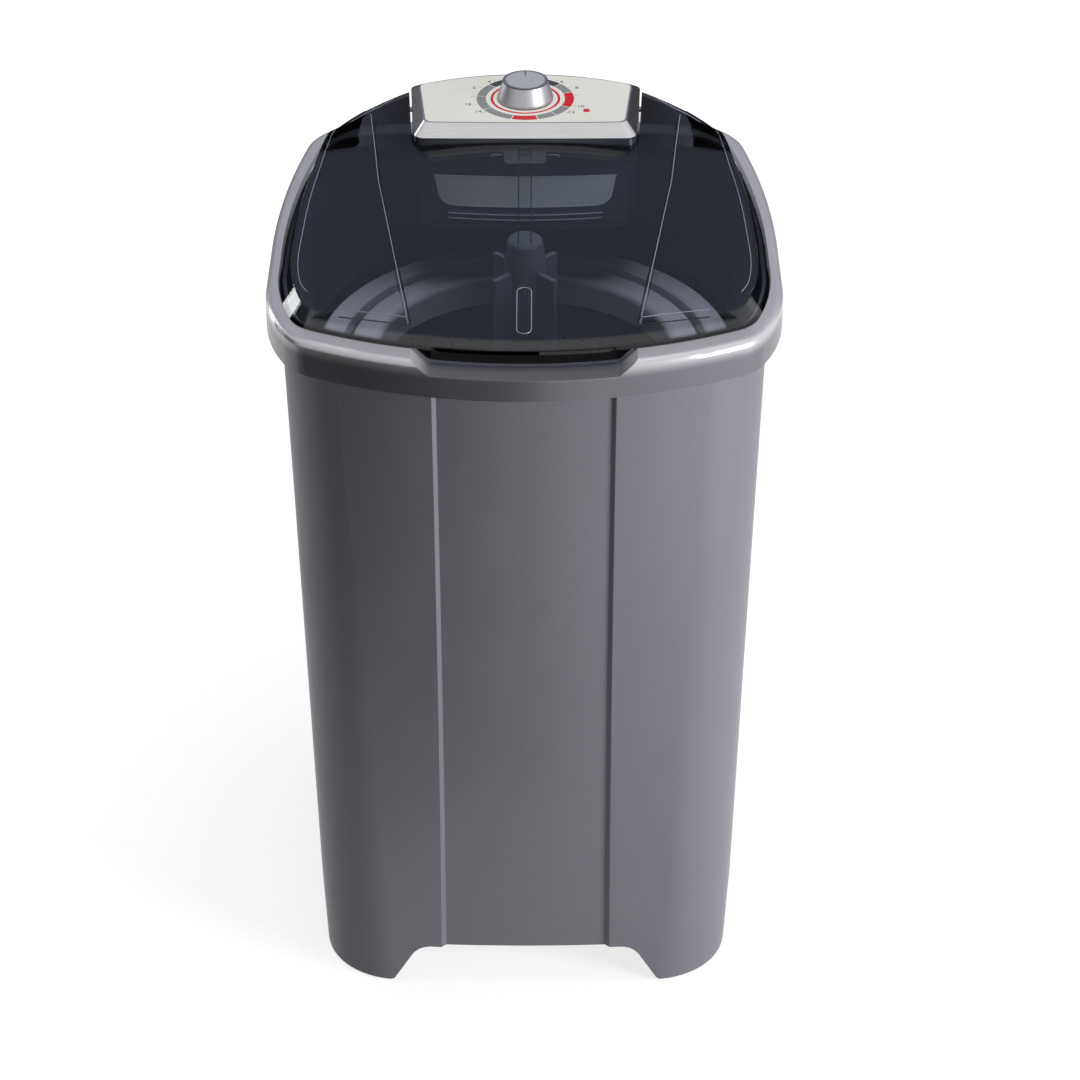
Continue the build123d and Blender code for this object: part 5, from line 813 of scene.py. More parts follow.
@dataclass
class Cabinet:
    """Painted cabinet, rear cover with its screws, base frame and feet."""

    screw_side: float = 0.153
    screw_heights: tuple[float, ...] = (0.137, 0.330, 0.523)
    screw_search: float = 0.012
    # Length of the shank's end that its radius is measured on.
    shank_end: float = 0.0005
    # Share of the head's radius past which a corner lies on its rim.
    head_rim: float = 0.9
    head_sides: int = 28
    head_profile: tuple[tuple[float, float], ...] = (
        (0.1, 0.0), (0.5, 0.1), (0.82, 0.32), (1.0, 0.75), (1.0, 1.0))
    recess_reach: float = 0.55
    recess_depth: float = 0.2
    recess_width: float = 0.0009
    recess_proud: float = 0.0001

    def find_screws(self) -> list[Screw]:
        """Finds the rear cover's screws on their node.

        Returns:
            The screws, measured.
        """
        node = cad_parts["rear_cover_screws"]
        corners = [node.matrix_world @ vertex.co for vertex in node.data.vertices]
        screws = []
        for side in (-1, 1):
            for height in self.screw_heights:
                near = [c for c in corners if abs(c.x - side * self.screw_side) < self.screw_search
                        and abs(c.z - height) < self.screw_search]
                if near:
                    screws.append(self.measure_screw(near))
        return screws

    def measure_screw(self, corners: Sequence[Vector]) -> Screw:
        """Measures one screw.

        Args:
            corners: The corners of its mesh.

        Returns:
            The screw.
        """
        east = [c.x for c in corners]
        tall = [c.z for c in corners]
        outer, inner = max(c.y for c in corners), min(c.y for c in corners)
        head = (max(east) - min(east)) / 2
        middle = Vector(((max(east) + min(east)) / 2, outer, (max(tall) + min(tall)) / 2))
        reaches = [math.hypot(c.x - middle.x, c.z - middle.z) for c in corners]
        rims = [c.y for c, reach in zip(corners, reaches) if reach > self.head_rim * head]
        shank = max(reach for c, reach in zip(corners, reaches) if c.y < inner + self.shank_end)
        return Screw(middle, inner, min(rims), head, shank)

    def turn_screw(self, bm: bmesh.types.BMesh, screw: Screw) -> None:
        """Turns one pan-head screw round its axis.

        Args:
            bm: The bmesh that gets the faces.
            screw: The screw.
        """
        head, shank = screw.head_radius, screw.shank_radius
        profile = [(share * head, depth * screw.rise) for share, depth in self.head_profile]
        profile += [(shank, screw.rise), (shank, screw.middle.y - screw.end)]
        angles = [math.tau * i / self.head_sides for i in range(self.head_sides)]
        ring_faces(bm, [[screw.middle + Vector((reach * math.cos(a), -depth, reach * math.sin(a)))
                         for a in angles] for reach, depth in profile])

    def cut_recess(self, bm: bmesh.types.BMesh, screw: Screw) -> None:
        """Lays a thin dark cross on one screw's head: painted shade in its cross recess.

        Args:
            bm: The bmesh that gets the faces.
            screw: The screw.
        """
        half, thin = screw.head_radius * self.recess_reach, self.recess_width / 2
        for east, tall in ((half, thin), (thin, half)):
            ring_faces(bm, [[screw.middle + Vector((x * east, depth, z * tall))
                             for x, z in ((-1, -1), (1, -1), (1, 1), (-1, 1))]
                            for depth in (-self.recess_depth * screw.rise, self.recess_proud)])

    def build_screws(self) -> None:
        """Builds the cover's pan-head screws, with dark crosses of painted shade in their recesses."""
        screws = self.find_screws()

        def fill_heads(bm: bmesh.types.BMesh) -> None:
            """Adds every screw."""
            for screw in screws:
                self.turn_screw(bm, screw)

        def fill_recesses(bm: bmesh.types.BMesh) -> None:
            """Adds a cross on each head."""
            for screw in screws:
                self.cut_recess(bm, screw)
        heads = dress(mesh_object("rear_cover_pan_screws", fill_heads), Finish.FASTENER)
        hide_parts("rear_cover_screws")
        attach(heads, Body.CHASSIS.value)
        LOG.info("rear_cover_pan_screws: %d screws", len(screws))
        # Painted shade: the dark crosses stand in for the shade inside the cross recesses.
        seat(mesh_object("rear_screw_recesses", fill_recesses, smooth=False), Finish.BLACK, Body.CHASSIS)

    def build(self) -> None:
        """Dresses the outer shell and builds its screws."""
        dress_nodes({
            Finish.CABINET: ["cabinet"],
            Finish.COVER: ["rear_cover"],
            Finish.FASTENER: ["rear_cover_screws"],
            Finish.BLACK: ["base_frame", "drain_spigot", "cable_gland", "capacitor_clip"],
            Finish.CAPACITOR: ["capacitor"],
            Finish.RUBBER: ["feet"],
            Finish.RIM: ["rim_trim"],
            Finish.DECK: ["top_deck"],
        })
        self.build_screws()


@dataclass
class Lid:
    """Smoked lid with its moulded mark drawn as a painted highlight, and thin lines of painted shade and
    painted highlight along its tongue, wings and crown.
    """

    front_height: float = 0.850
    middle_height: float = 0.889
    front_depth: float = -0.295
    middle_depth: float = 0.133
    front_drop: float = 0.006
    middle_drop: float = 0.034
    span: float = 0.300
    mark_front: float = -0.248
    mark_rear: float = -0.162
    mark_width: float = 0.0155
    mark_line: float = 0.0005
    mark_steps: int = 12
    tongue_half: float = 0.007
    tongue_rear: float = 0.117
    tongue_front: float = -0.079
    wing_inner: tuple[tuple[float, float], ...] = (
        (0.177, 0.215), (0.162, 0.053), (0.137, -0.119), (0.121, -0.228))
    wing_front: tuple[tuple[float, float], ...] = ((0.121, -0.228), (0.196, -0.208))
    line_shift: float = 0.0018
    line_radius: float = 0.0006
    glint_radius: float = 0.00048
    edge_points: int = 120
    edge_rear_degrees: float = 58.0
    edge_front_degrees: float = -36.0
    edge_slope: float = 0.8
    edge_nearest: float = 0.15
    edge_farthest: float = 0.40
    edge_halvings: int = 14
    edge_smoothing: int = 5
    crown_glint_inset: float = 0.008
    crown_glint_radius: float = 0.00042

    def top(self, side: float, depth: float) -> float:
        """Works out the height of the lid's arched top.

        Args:
            side: Place along X.
            depth: Place along Y.

        Returns:
            The height.
        """
        share = (depth - self.front_depth) / (self.middle_depth - self.front_depth)
        crest = self.front_height + share * (self.middle_height - self.front_height)
        drop = self.front_drop + share * (self.middle_drop - self.front_drop)
        return crest - drop * (side / self.span) ** 2

    def mark_path(self) -> list[Vector]:
        """Traces the oblong mark's outline on the lid.

        Returns:
            The outline, without its first point repeated.
        """
        half = self.mark_width / 2
        points = []
        for middle, turn in ((self.mark_rear - half, 0.0), (self.mark_front + half, math.pi)):
            for i in range(self.mark_steps + 1):
                angle = turn + math.pi * i / self.mark_steps
                side, depth = half * math.cos(angle), middle + half * math.sin(angle)
                points.append(Vector((side, depth, self.top(side, depth))))
        return points

    def build(self) -> None:
        """Builds the mark and the lines, and dresses the lid."""
        dress_nodes({Finish.LID: ["lid"], Finish.FASTENER: ["lid_magnet", "hinge_pins"]})
        # The oblong mark's outline is drawn as a pale painted highlight.
        mark = closed_bead("lid_oblong_mark", self.mark_path(), self.mark_line)
        seat(mark, Finish.LID_GLINT, Body.LID)
        self.build_lines(surface_tree("lid"))

    def on_top(self, tree: BVHTree, corners: Sequence[tuple[float, float]]) -> list[Vector]:
        """Returns legs between corners, laid on the lid's top."""
        return drape(tree, (Vector((x, y, 0)) + CLEAR_ABOVE for x, y in legs(corners)), DOWN)

    def crown_reach(self, tree: BVHTree, way: Vector) -> float:
        """Finds how far the lid's top reaches before it turns down into its wall.

        Args:
            tree: The lid's surface.
            way: Level direction from the machine's middle, as a unit vector.

        Returns:
            The distance from the middle.
        """
        low, high = self.edge_nearest, self.edge_farthest
        for _ in range(self.edge_halvings):
            middle = (low + high) / 2
            hit, normal, _, _ = tree.ray_cast(way * middle + CLEAR_ABOVE, DOWN)
            if hit is not None and normal.z > self.edge_slope:
                low = middle
            else:
                high = middle
        return low

    def crown_edges(self, tree: BVHTree, inset: float) -> list[list[Vector]]:
        """Follows the edge where the lid's top turns down into its wall.

        Args:
            tree: The lid's surface.
            inset: Distance from the edge, inwards.

        Returns:
            One line for each side.
        """
        sides = []
        turn = (self.edge_front_degrees - self.edge_rear_degrees) / (self.edge_points - 1)
        for side in (1, -1):
            angles = [math.radians(self.edge_rear_degrees + turn * i) for i in range(self.edge_points)]
            ways = [Vector((side * math.cos(a), math.sin(a), 0)) for a in angles]
            reaches = [self.crown_reach(tree, way) - inset for way in ways]
            near = [reaches[max(0, i - self.edge_smoothing):i + self.edge_smoothing + 1]
                    for i in range(self.edge_points)]
            sides.append(drape(tree, (way * (sum(few) / len(few)) + CLEAR_ABOVE
                                      for way, few in zip(ways, near)), DOWN))
        return sides

    def build_lines(self, tree: BVHTree) -> None:
        """Builds the thin lines of painted shade and painted highlight along the tongue, the wings and the
        crown's edge.

        Args:
            tree: The lid's surface.
        """
        dark = [self.on_top(tree, [(side * self.tongue_half, self.tongue_rear),
                                   (side * self.tongue_half, self.tongue_front)]) for side in (-1, 1)]
        bright = []
        for side in (-1, 1):
            for shift, lines in ((-self.line_shift, dark), (self.line_shift, bright)):
                lines.append(self.on_top(tree, [(side * (x + shift), y) for x, y in self.wing_inner]))
                lines.append(self.on_top(tree, [(side * x, y + shift) for x, y in self.wing_front]))
        # Dark beads are painted shade and pale beads are painted highlights on the lid's creases and edges.
        bead("lid_dark_lines", dark, self.line_radius, Finish.LID_EDGE, Body.LID)
        bead("lid_glints", bright, self.glint_radius, Finish.LID_GLINT, Body.LID)
        bead("lid_crown_line", self.crown_edges(tree, 0.0), self.line_radius, Finish.LID_EDGE, Body.LID)
        bead("lid_crown_glint", self.crown_edges(tree, self.crown_glint_inset), self.crown_glint_radius,
             Finish.LID_GLINT, Body.LID)


@dataclass
class Dial:
    """Printed dial round the knob, on the control panel."""

    centre: Vector
    ring_inner: float = 0.0455
    ring_outer: float = 0.0560
    line_inner: float = 0.0372
    line_outer: float = 0.0402
    ink: float = 0.00012
    gap_degrees: float = 1.4
    segments: tuple[tuple[float, float, str], ...] = (
        (-24.0, 42.0, "red"), (18.0, 26.0, "grey"), (44.0, 24.0, "dark"), (68.0, 46.0, "grey"),
        (114.0, 26.0, "dark"), (140.0, 34.0, "grey"), (174.0, 38.0, "grey"), (212.0, 42.0, "grey"),
        (254.0, 32.0, "red"), (286.0, 24.0, "grey"), (310.0, 26.0, "grey"))
    leaders: tuple[float, ...] = (150.0, 176.0, 128.0, 52.0, 30.0, 8.0, 196.0, 218.0, 322.0, 340.0)
    leader_gap: float = 0.001
    leader_reach: float = 0.006
    leader_width: float = 0.0004
    numbers: tuple[tuple[str, float], ...] = (
        ("2", 150), ("4", 128), ("6", 52), ("8", 30), ("10", -22), ("12", -40), ("14", 218), ("16", 196))
    number_size: float = 0.0085
    number_gap: float = 0.0125
    number_depth_share: float = 0.82

    def build(self) -> None:
        """Builds the printed rings and their marks."""
        inks = {"red": Finish.INK_RED, "grey": Finish.INK_GREY, "dark": Finish.DARK_INK_AND_EDGE_SHADE}
        for ink, finish in inks.items():
            def fill(bm: bmesh.types.BMesh, wanted: str = ink) -> None:
                """Adds the ring's sectors of one ink.

                Args:
                    bm: The bmesh that gets the faces.
                    wanted: The ink.
                """
                for start, sweep, name in self.segments:
                    if name == wanted:
                        sector(bm, self.centre, self.ring_inner, self.ring_outer, start,
                               sweep - self.gap_degrees, self.ink)
            seat(mesh_object(f"dial_ring_{ink}", fill, smooth=False), finish, Body.CHASSIS)
        line = mesh_object("dial_line", lambda bm: sector(
            bm, self.centre, self.line_inner, self.line_outer, 0, 360, self.ink), smooth=False)
        seat(line, Finish.INK_RED, Body.CHASSIS)

        def fill_leaders(bm: bmesh.types.BMesh) -> None:
            """Adds the thin lines between the ring and the numbers.

            Args:
                bm: The bmesh that gets the faces.
            """
            outer = self.ring_outer + self.leader_gap
            sweep = math.degrees(self.leader_width / outer)
            for angle in self.leaders:
                sector(bm, self.centre, outer, outer + self.leader_reach, angle, sweep, self.ink)
        seat(mesh_object("dial_leaders", fill_leaders, smooth=False), Finish.INK_GREY, Body.CHASSIS)
        self.build_numbers()

    def number_mesh(self, text: str, degrees: float) -> bpy.types.Mesh:
        """Sets one number beside the ring.

        Args:
            text: The number.
            degrees: Its place round the dial.

        Returns:
            Its mesh, in the machine's frame.
        """
        curve = bpy.data.curves.new("dial_number", "FONT")
        curve.body = text
        curve.size = self.number_size
        curve.extrude = self.ink / 2
        curve.align_x = "CENTER"
        curve.align_y = "CENTER"
        holder = bpy.data.objects.new("dial_number", curve)
        bpy.context.scene.collection.objects.link(holder)
        bpy.context.view_layer.update()
        mesh = bpy.data.meshes.new_from_object(holder.evaluated_get(bpy.context.evaluated_depsgraph_get()))
        way = math.radians(degrees)
        reach = self.ring_outer + self.number_gap
        spot = self.centre + Vector((reach * math.cos(way), reach * math.sin(way) * self.number_depth_share,
                                     self.ink / 2))
        for vertex in mesh.vertices:
            vertex.co += spot
        bpy.data.objects.remove(holder)
        bpy.data.curves.remove(curve)
        return mesh

    def build_numbers(self) -> None:
        """Sets plain numbers round the dial, as one mesh."""
        meshes = [self.number_mesh(text, degrees) for text, degrees in self.numbers]

        def fill(bm: bmesh.types.BMesh) -> None:
            """Joins the numbers."""
            for mesh in meshes:
                bm.from_mesh(mesh)
        seat(mesh_object("dial_numbers", fill, smooth=False), Finish.DARK_INK_AND_EDGE_SHADE, Body.CHASSIS)


@dataclass
class Console:
    """Console housing, chromed bezel, control panel, timer knob and lamp."""

    knob_depth: float = 0.204
    panel_top: float = 0.9085
    knob_top: float = 0.932
    knob_top_radius: float = 0.0255
    edge_radius: float = 0.0006
    edge_points: int = 72

    def knob_edge(self) -> list[Vector]:
        """Traces the knob's top edge.

        Returns:
            The circle, without its first point repeated.
        """
        angles = [math.tau * i / self.edge_points for i in range(self.edge_points)]
        middle = Vector((0, self.knob_depth, self.knob_top - self.edge_radius))
        return [middle + Vector((math.cos(a), math.sin(a), 0)) * self.knob_top_radius for a in angles]

    def build(self) -> None:
        """Builds the console's fine detail and dresses its nodes."""
        dress_nodes({
            Finish.CONSOLE: ["console_housing"],
            Finish.CONSOLE_FLOOR: ["console_base"],
            Finish.BEZEL: ["console_bezel"],
            Finish.PANEL: ["control_panel"],
            Finish.LAMP: ["indicator_lamp"],
            Finish.KNOB: ["timer_knob"],
            Finish.KNOB_CAP: ["knob_cap"],
            Finish.BLACK: ["timer_body", "lid_switch"],
            Finish.SHAFT: ["timer_shaft"],
            Finish.FASTENER: ["console_screws"],
        })
        Dial(Vector((0, self.knob_depth, self.panel_top))).build()
        # A near-black line of painted shade round the knob's top edge.
        seat(closed_bead("knob_edge_line", self.knob_edge(), self.edge_radius), Finish.DARK_INK_AND_EDGE_SHADE, Body.KNOB)


@dataclass
class Filter:
    """Filter cartridge with its window and pull tab, and pale lines of painted highlight on its edges and
    lip.
    """

    window_low: float = 0.812
    window_high: float = 0.848
    window_top_half: float = 0.104
    window_low_half: float = 0.097
    window_corner: float = 0.016
    corner_steps: int = 8
    lip_heights: tuple[float, float] = (0.7985, 0.8045)
    lip_half: float = 0.088
    step_line: tuple[tuple[float, float], ...] = (
        (0.026, 0.874), (0.036, 0.874), (0.051, 0.8625), (0.117, 0.8625))
    line: float = 0.0005
    lip_line: float = 0.0007

    def window_outline(self) -> list[tuple[float, float]]:
        """Traces the window from the front, with its two rounded lower corners.

        Returns:
            The closed outline, as places along X and Z.
        """
        corner, points = self.window_corner, []
        angles = [math.pi / 2 * i / self.corner_steps for i in range(self.corner_steps + 1)]
        for side in (1, -1):
            arc = [(side * (self.window_low_half - corner * (1 - math.cos(a))),
                    self.window_low + corner * (1 - math.sin(a))) for a in angles]
            leg = [(self.window_top_half * side, self.window_high)] + arc
            points += leg if side > 0 else leg[::-1]
        return points + points[:1]

    def build(self) -> None:
        """Dresses the filter's nodes and lays its pale lines of painted highlight."""
        dress_nodes({
            Finish.FILTER: ["filter_cartridge"],
            Finish.WINDOW: ["filter_window"],
            Finish.FILTER_TAB: ["filter_tab"],
        })
        front = surface_tree("filter_cartridge", "filter_window")

        def seen(corners: Sequence[tuple[float, float]]) -> list[Vector]:
            """Returns legs between corners, laid on the filter's front."""
            return drape(front, (Vector((x, CLEAR_FRONT, z)) for x, z in legs(corners)), REARWARD)

        # Pale beads of painted highlight on the window's outline, the lip and the stepped edge.
        bead("filter_window_line", [seen(self.window_outline())], self.line, Finish.PALE_EDGE_HIGHLIGHT, Body.FILTER,
             REARWARD)
        bead("filter_lip_lines", [seen([(-self.lip_half, z), (self.lip_half, z)]) for z in self.lip_heights],
             self.lip_line, Finish.FILTER_LIP_HIGHLIGHT, Body.FILTER, REARWARD)
        bead("filter_step_line", [seen([(side * x, z) for x, z in self.step_line]) for side in (-1, 1)],
             self.line, Finish.PALE_EDGE_HIGHLIGHT, Body.FILTER, REARWARD)


@dataclass
class Suspension:
    """Rods, caps, sleeves and the coil springs that carry the tub."""

    side: float = 0.188
    depth: float = 0.218
    low: float = 0.151
    high: float = 0.240
    radius: float = 0.014
    wire: float = 0.0019
    turns: float = 9.0
    end_turns: float = 0.8
    points_per_turn: int = 20

    def spring_path(self, x: float, y: float) -> list[Vector]:
        """Winds one spring's centre line, with closed ends.

        Args:
            x: Place of its axis along X.
            y: Place of its axis along Y.

        Returns:
            The centre line.
        """
        points = []
        steps = int(self.turns * self.points_per_turn)
        length = self.high - self.low - 2 * self.wire
        for i in range(steps + 1):
            turn = self.turns * i / steps
            share = min(1.0, max(0.0, (turn - self.end_turns) / (self.turns - 2 * self.end_turns)))
            angle = math.tau * turn
            points.append(Vector((x + self.radius * math.cos(angle), y + self.radius * math.sin(angle),
                                  self.low + self.wire + share * length)))
        return points

    def build(self) -> None:
        """Builds the springs and dresses the suspension."""
        dress_nodes({
            Finish.BRACKET: ["suspension_brackets"],
            Finish.FASTENER: ["suspension_rods"],
            Finish.BLACK: ["rod_caps", "damper_sleeves"],
            Finish.SPRING: ["suspension_springs"],
        })

        def fill(bm: bmesh.types.BMesh) -> None:
            """Adds the four coils.

            Args:
                bm: The bmesh that gets the faces.
            """
            for x in (-self.side, self.side):
                for y in (-self.depth, self.depth):
                    ring_faces(bm, tube_rings(self.spring_path(x, y), self.wire, RING_SIDES))
        springs = dress(mesh_object("coil_springs", fill), Finish.SPRING)
        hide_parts("suspension_springs")
        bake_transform(springs)
        LOG.info("coil_springs: %d faces", len(springs.data.polygons))


@dataclass
class Tub:
    """Outer tub, bearing, gearcase, motor and belt drive."""

    hose_side: float = -0.100
    hose_depth: float = 0.088
    hose_top: float = 0.214
    hose_low: float = 0.034
    hose_end: float = 0.255
    bend: float = 0.040
    hose_radius: float = 0.0126
    hose_sides: int = 20
    plain_end: float = 0.02
    rib_depth: float = 0.0018
    rib_pitch: float = 0.006
    points_per_rib: int = 6

    def hose_path(self) -> list[Vector]:
        """Lays out the drain hose, a quarter bend between two straight runs.

        Returns:
            Its centre line.
        """
        points = []
        step = self.rib_pitch / self.points_per_rib
        drop = self.hose_top - self.hose_low - self.bend
        for i in range(int(drop / step) + 1):
            points.append(Vector((self.hose_side, self.hose_depth, self.hose_top - i * step)))
        corner = Vector((self.hose_side, self.hose_depth + self.bend, self.hose_low + self.bend))
        arc_steps = int(self.bend * math.pi / 2 / step)
        for i in range(1, arc_steps + 1):
            angle = math.pi / 2 * i / arc_steps
            points.append(corner + Vector((0, -math.cos(angle), -math.sin(angle))) * self.bend)
        run = self.hose_end - self.hose_depth - self.bend
        for i in range(1, int(run / step) + 1):
            points.append(Vector((self.hose_side, self.hose_depth + self.bend + i * step, self.hose_low)))
        return points

    def hose_radii(self, count: int) -> list[float]:
        """Works out the hose's ribs between its two plain ends.

        Args:
            count: Number of points along the hose.

        Returns:
            Its radius at each point.
        """
        plain = int(self.plain_end / (self.rib_pitch / self.points_per_rib))
        radii = []
        for i in range(count):
            ribbed = plain < i < count - plain
            wave = 0.5 - 0.5 * math.cos(math.tau * i / self.points_per_rib)
            radii.append(self.hose_radius - (self.rib_depth * wave if ribbed else 0.0))
        return radii

    def build(self) -> None:
        """Builds the ribbed drain hose and dresses the tub and the drive."""
        dress_nodes({
            Finish.TUB: ["outer_tub"],
            Finish.RING: ["tub_ring"],
            Finish.CAST: ["bearing_housing", "gearcase", "driven_pulley", "motor_pulley", "motor"],
            Finish.SHAFT: ["bearings", "input_shaft", "motor_shaft"],
            Finish.RUBBER: ["shaft_seal", "drive_belt", "drain_hose"],
            Finish.FASTENER: ["gearcase_screws", "motor_bolts", "pulley_nut"],
            Finish.BRACKET: ["motor_bracket"],
        })
        path = self.hose_path()
        radii = self.hose_radii(len(path))
        hose = mesh_object("ribbed_drain_hose", lambda bm: ring_faces(
            bm, tube_rings(path, radii, self.hose_sides, up=EASTWARD)))
        dress(hose, Finish.RUBBER)
        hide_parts("drain_hose")
        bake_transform(hose)
        LOG.info("ribbed_drain_hose: %d faces", len(hose.data.polygons))


@dataclass
class Basket:
    """Perforated spin basket with its balance ring, hub and the agitator."""

    holes_round: int = 54
    rows: int = 13
    low_row: float = 0.3067
    row_pitch: float = 0.02667
    hole_radius: float = 0.0016
    hole_sides: int = 8
    hole_spread: float = 0.03
    proud: float = 0.0003
    outside: float = 0.22
    seed: int = 7

    def perforation_tree(self) -> bpy.types.NodeTree:
        """Builds the node tree that sets small bores round the basket's wall.

        Returns:
            The tree.
        """
        tree = bpy.data.node_groups.new("basket_perforations", "GeometryNodeTree")
        face = tree.interface
        face.new_socket("Geometry", in_out="OUTPUT", socket_type="NodeSocketGeometry")
        for name, kind in (("Holes Round", "Int"), ("Rows", "Int"), ("Low Row", "Float"),
                           ("Row Pitch", "Float"), ("Wall Radius", "Float"), ("Hole Radius", "Float"),
                           ("Depth", "Float"), ("Seed", "Int")):
            face.new_socket(name, in_out="INPUT", socket_type=f"NodeSocket{kind}")
        given = tree.nodes.new("NodeGroupInput").outputs
        result = tree.nodes.new("NodeGroupOutput")

        def calculate(kind: str, first: object, second: object = 0.0) -> bpy.types.NodeSocket:
            """Adds a math node.

            Args:
                kind: Its operation.
                first: Its first value, a socket or a number.
                second: Its second value, a socket or a number.

            Returns:
                The socket with its result.
            """
            node = add_node(tree, "ShaderNodeMath", operation=kind)
            for slot, value in enumerate((first, second)):
                if isinstance(value, (int, float)):
                    node.inputs[slot].default_value = value
                else:
                    tree.links.new(value, node.inputs[slot])
            return node.outputs[0]

        line = add_node(tree, "GeometryNodeMeshLine",
                        {"Count": calculate("MULTIPLY", given["Holes Round"], given["Rows"])})
        index = tree.nodes.new("GeometryNodeInputIndex").outputs[0]
        row = calculate("FLOOR", calculate("DIVIDE", index, given["Holes Round"]))
        stagger = calculate("MULTIPLY", calculate("MODULO", row, 2.0), 0.5)
        turns = calculate("DIVIDE", calculate("ADD", index, stagger), given["Holes Round"])
        angle = calculate("MULTIPLY", turns, math.tau)
        height = calculate("ADD", given["Low Row"], calculate("MULTIPLY", row, given["Row Pitch"]))
        out = add_node(tree, "ShaderNodeCombineXYZ",
                       {"X": calculate("COSINE", angle), "Y": calculate("SINE", angle)}).outputs[0]
        reach = add_node(tree, "ShaderNodeVectorMath", {0: out, "Scale": given["Wall Radius"]},
                         operation="SCALE").outputs[0]
        rise = add_node(tree, "ShaderNodeCombineXYZ", {"Z": height}).outputs[0]
        spot = add_node(tree, "ShaderNodeVectorMath", {0: reach, 1: rise}, operation="ADD").outputs[0]
        points = add_node(tree, "GeometryNodeSetPosition", {"Geometry": line.outputs[0], "Position": spot})
        plug = add_node(tree, "GeometryNodeMeshCylinder",
                        {"Radius": given["Hole Radius"], "Depth": given["Depth"]}, Vertices=self.hole_sides)
        aim = add_node(tree, "FunctionNodeAlignRotationToVector", {"Vector": out}, axis="Z")
        size = add_node(tree, "FunctionNodeRandomValue", {"Seed": given["Seed"]})
        size.inputs[2].default_value = 1.0 - self.hole_spread
        size.inputs[3].default_value = 1.0 + self.hole_spread
        placed = add_node(tree, "GeometryNodeInstanceOnPoints",
                          {"Points": points.outputs[0], "Instance": plug.outputs[0],
                           "Rotation": aim.outputs[0], "Scale": size.outputs[1]})
        real = add_node(tree, "GeometryNodeRealizeInstances", {"Geometry": placed.outputs[0]})
        inked = add_node(tree, "GeometryNodeSetMaterial", {"Geometry": real.outputs[0]})
        inked.inputs["Material"].default_value = Finish.BORE.material()
        tree.links.new(inked.outputs[0], result.inputs[0])
        return tree

    def build_perforations(self) -> None:
        """Runs the perforation tree and keeps its mesh."""
        wall = surface_tree("spin_basket")
        height = self.low_row + self.row_pitch / 2
        inner = wall.ray_cast(Vector((0, 0, height)), EASTWARD)[0].x
        outer = wall.ray_cast(Vector((self.outside, 0, height)), WESTWARD)[0].x
        tree = self.perforation_tree()
        values = {"Holes Round": self.holes_round, "Rows": self.rows, "Low Row": self.low_row,
                  "Row Pitch": self.row_pitch, "Wall Radius": (inner + outer) / 2,
                  "Hole Radius": self.hole_radius, "Depth": outer - inner + 2 * self.proud, "Seed": self.seed}
        holder = bpy.data.objects.new("perforation_source", bpy.data.meshes.new("perforation_source"))
        bpy.context.scene.collection.objects.link(holder)
        grower = holder.modifiers.new("perforations", "NODES")
        grower.node_group = tree
        for item in tree.interface.items_tree:
            if item.in_out == "INPUT":
                grower[item.identifier] = values[item.name]
        bpy.context.view_layer.update()
        mesh = bpy.data.meshes.new_from_object(holder.evaluated_get(bpy.context.evaluated_depsgraph_get()))
        holder.modifiers.remove(grower)
        bpy.data.objects.remove(holder)
        piece = bpy.data.objects.new("basket_perforations", mesh)
        bpy.context.scene.collection.objects.link(piece)
        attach(piece, Body.BASKET.value)
        LOG.info("basket_perforations: %d faces, wall %.4f to %.4f", len(mesh.polygons), inner, outer)

    def build(self) -> None:
        """Dresses the basket and the agitator, and builds the perforations."""
        dress_nodes({
            Finish.BASKET: ["spin_basket", "basket_floor"],
            Finish.RING: ["balance_ring"],
            Finish.CAST: ["basket_hub"],
            Finish.FASTENER: ["hub_screws", "agitator_bolt"],
            Finish.SHAFT: ["spin_tube", "agitator_shaft"],
            Finish.AGITATOR: ["agitator", "agitator_cap"],
        })
        self.build_perforations()


# Studio


@dataclass(frozen=True)
class StudioLamp:
    """A rectangular soft lamp, from its middle towards a target, in metres and watts."""

    name: str
    place: Point
    target: Point
    size: tuple[float, float]
    watts: float
    mirrored: bool = True

    def hang(self) -> None:
        """Adds the lamp to the scene; one that isn't mirrored stays out of reflections."""
        lamp = bpy.data.lights.new(self.name, "AREA")
        lamp.shape = "RECTANGLE"
        lamp.size, lamp.size_y = self.size
        lamp.energy = self.watts
        holder = bpy.data.objects.new(self.name, lamp)
        holder.visible_glossy = self.mirrored
        holder.location = self.place
        way = Vector(self.target) - Vector(self.place)
        holder.rotation_euler = way.to_track_quat("-Z", "Y").to_euler()
        bpy.context.scene.collection.objects.link(holder)


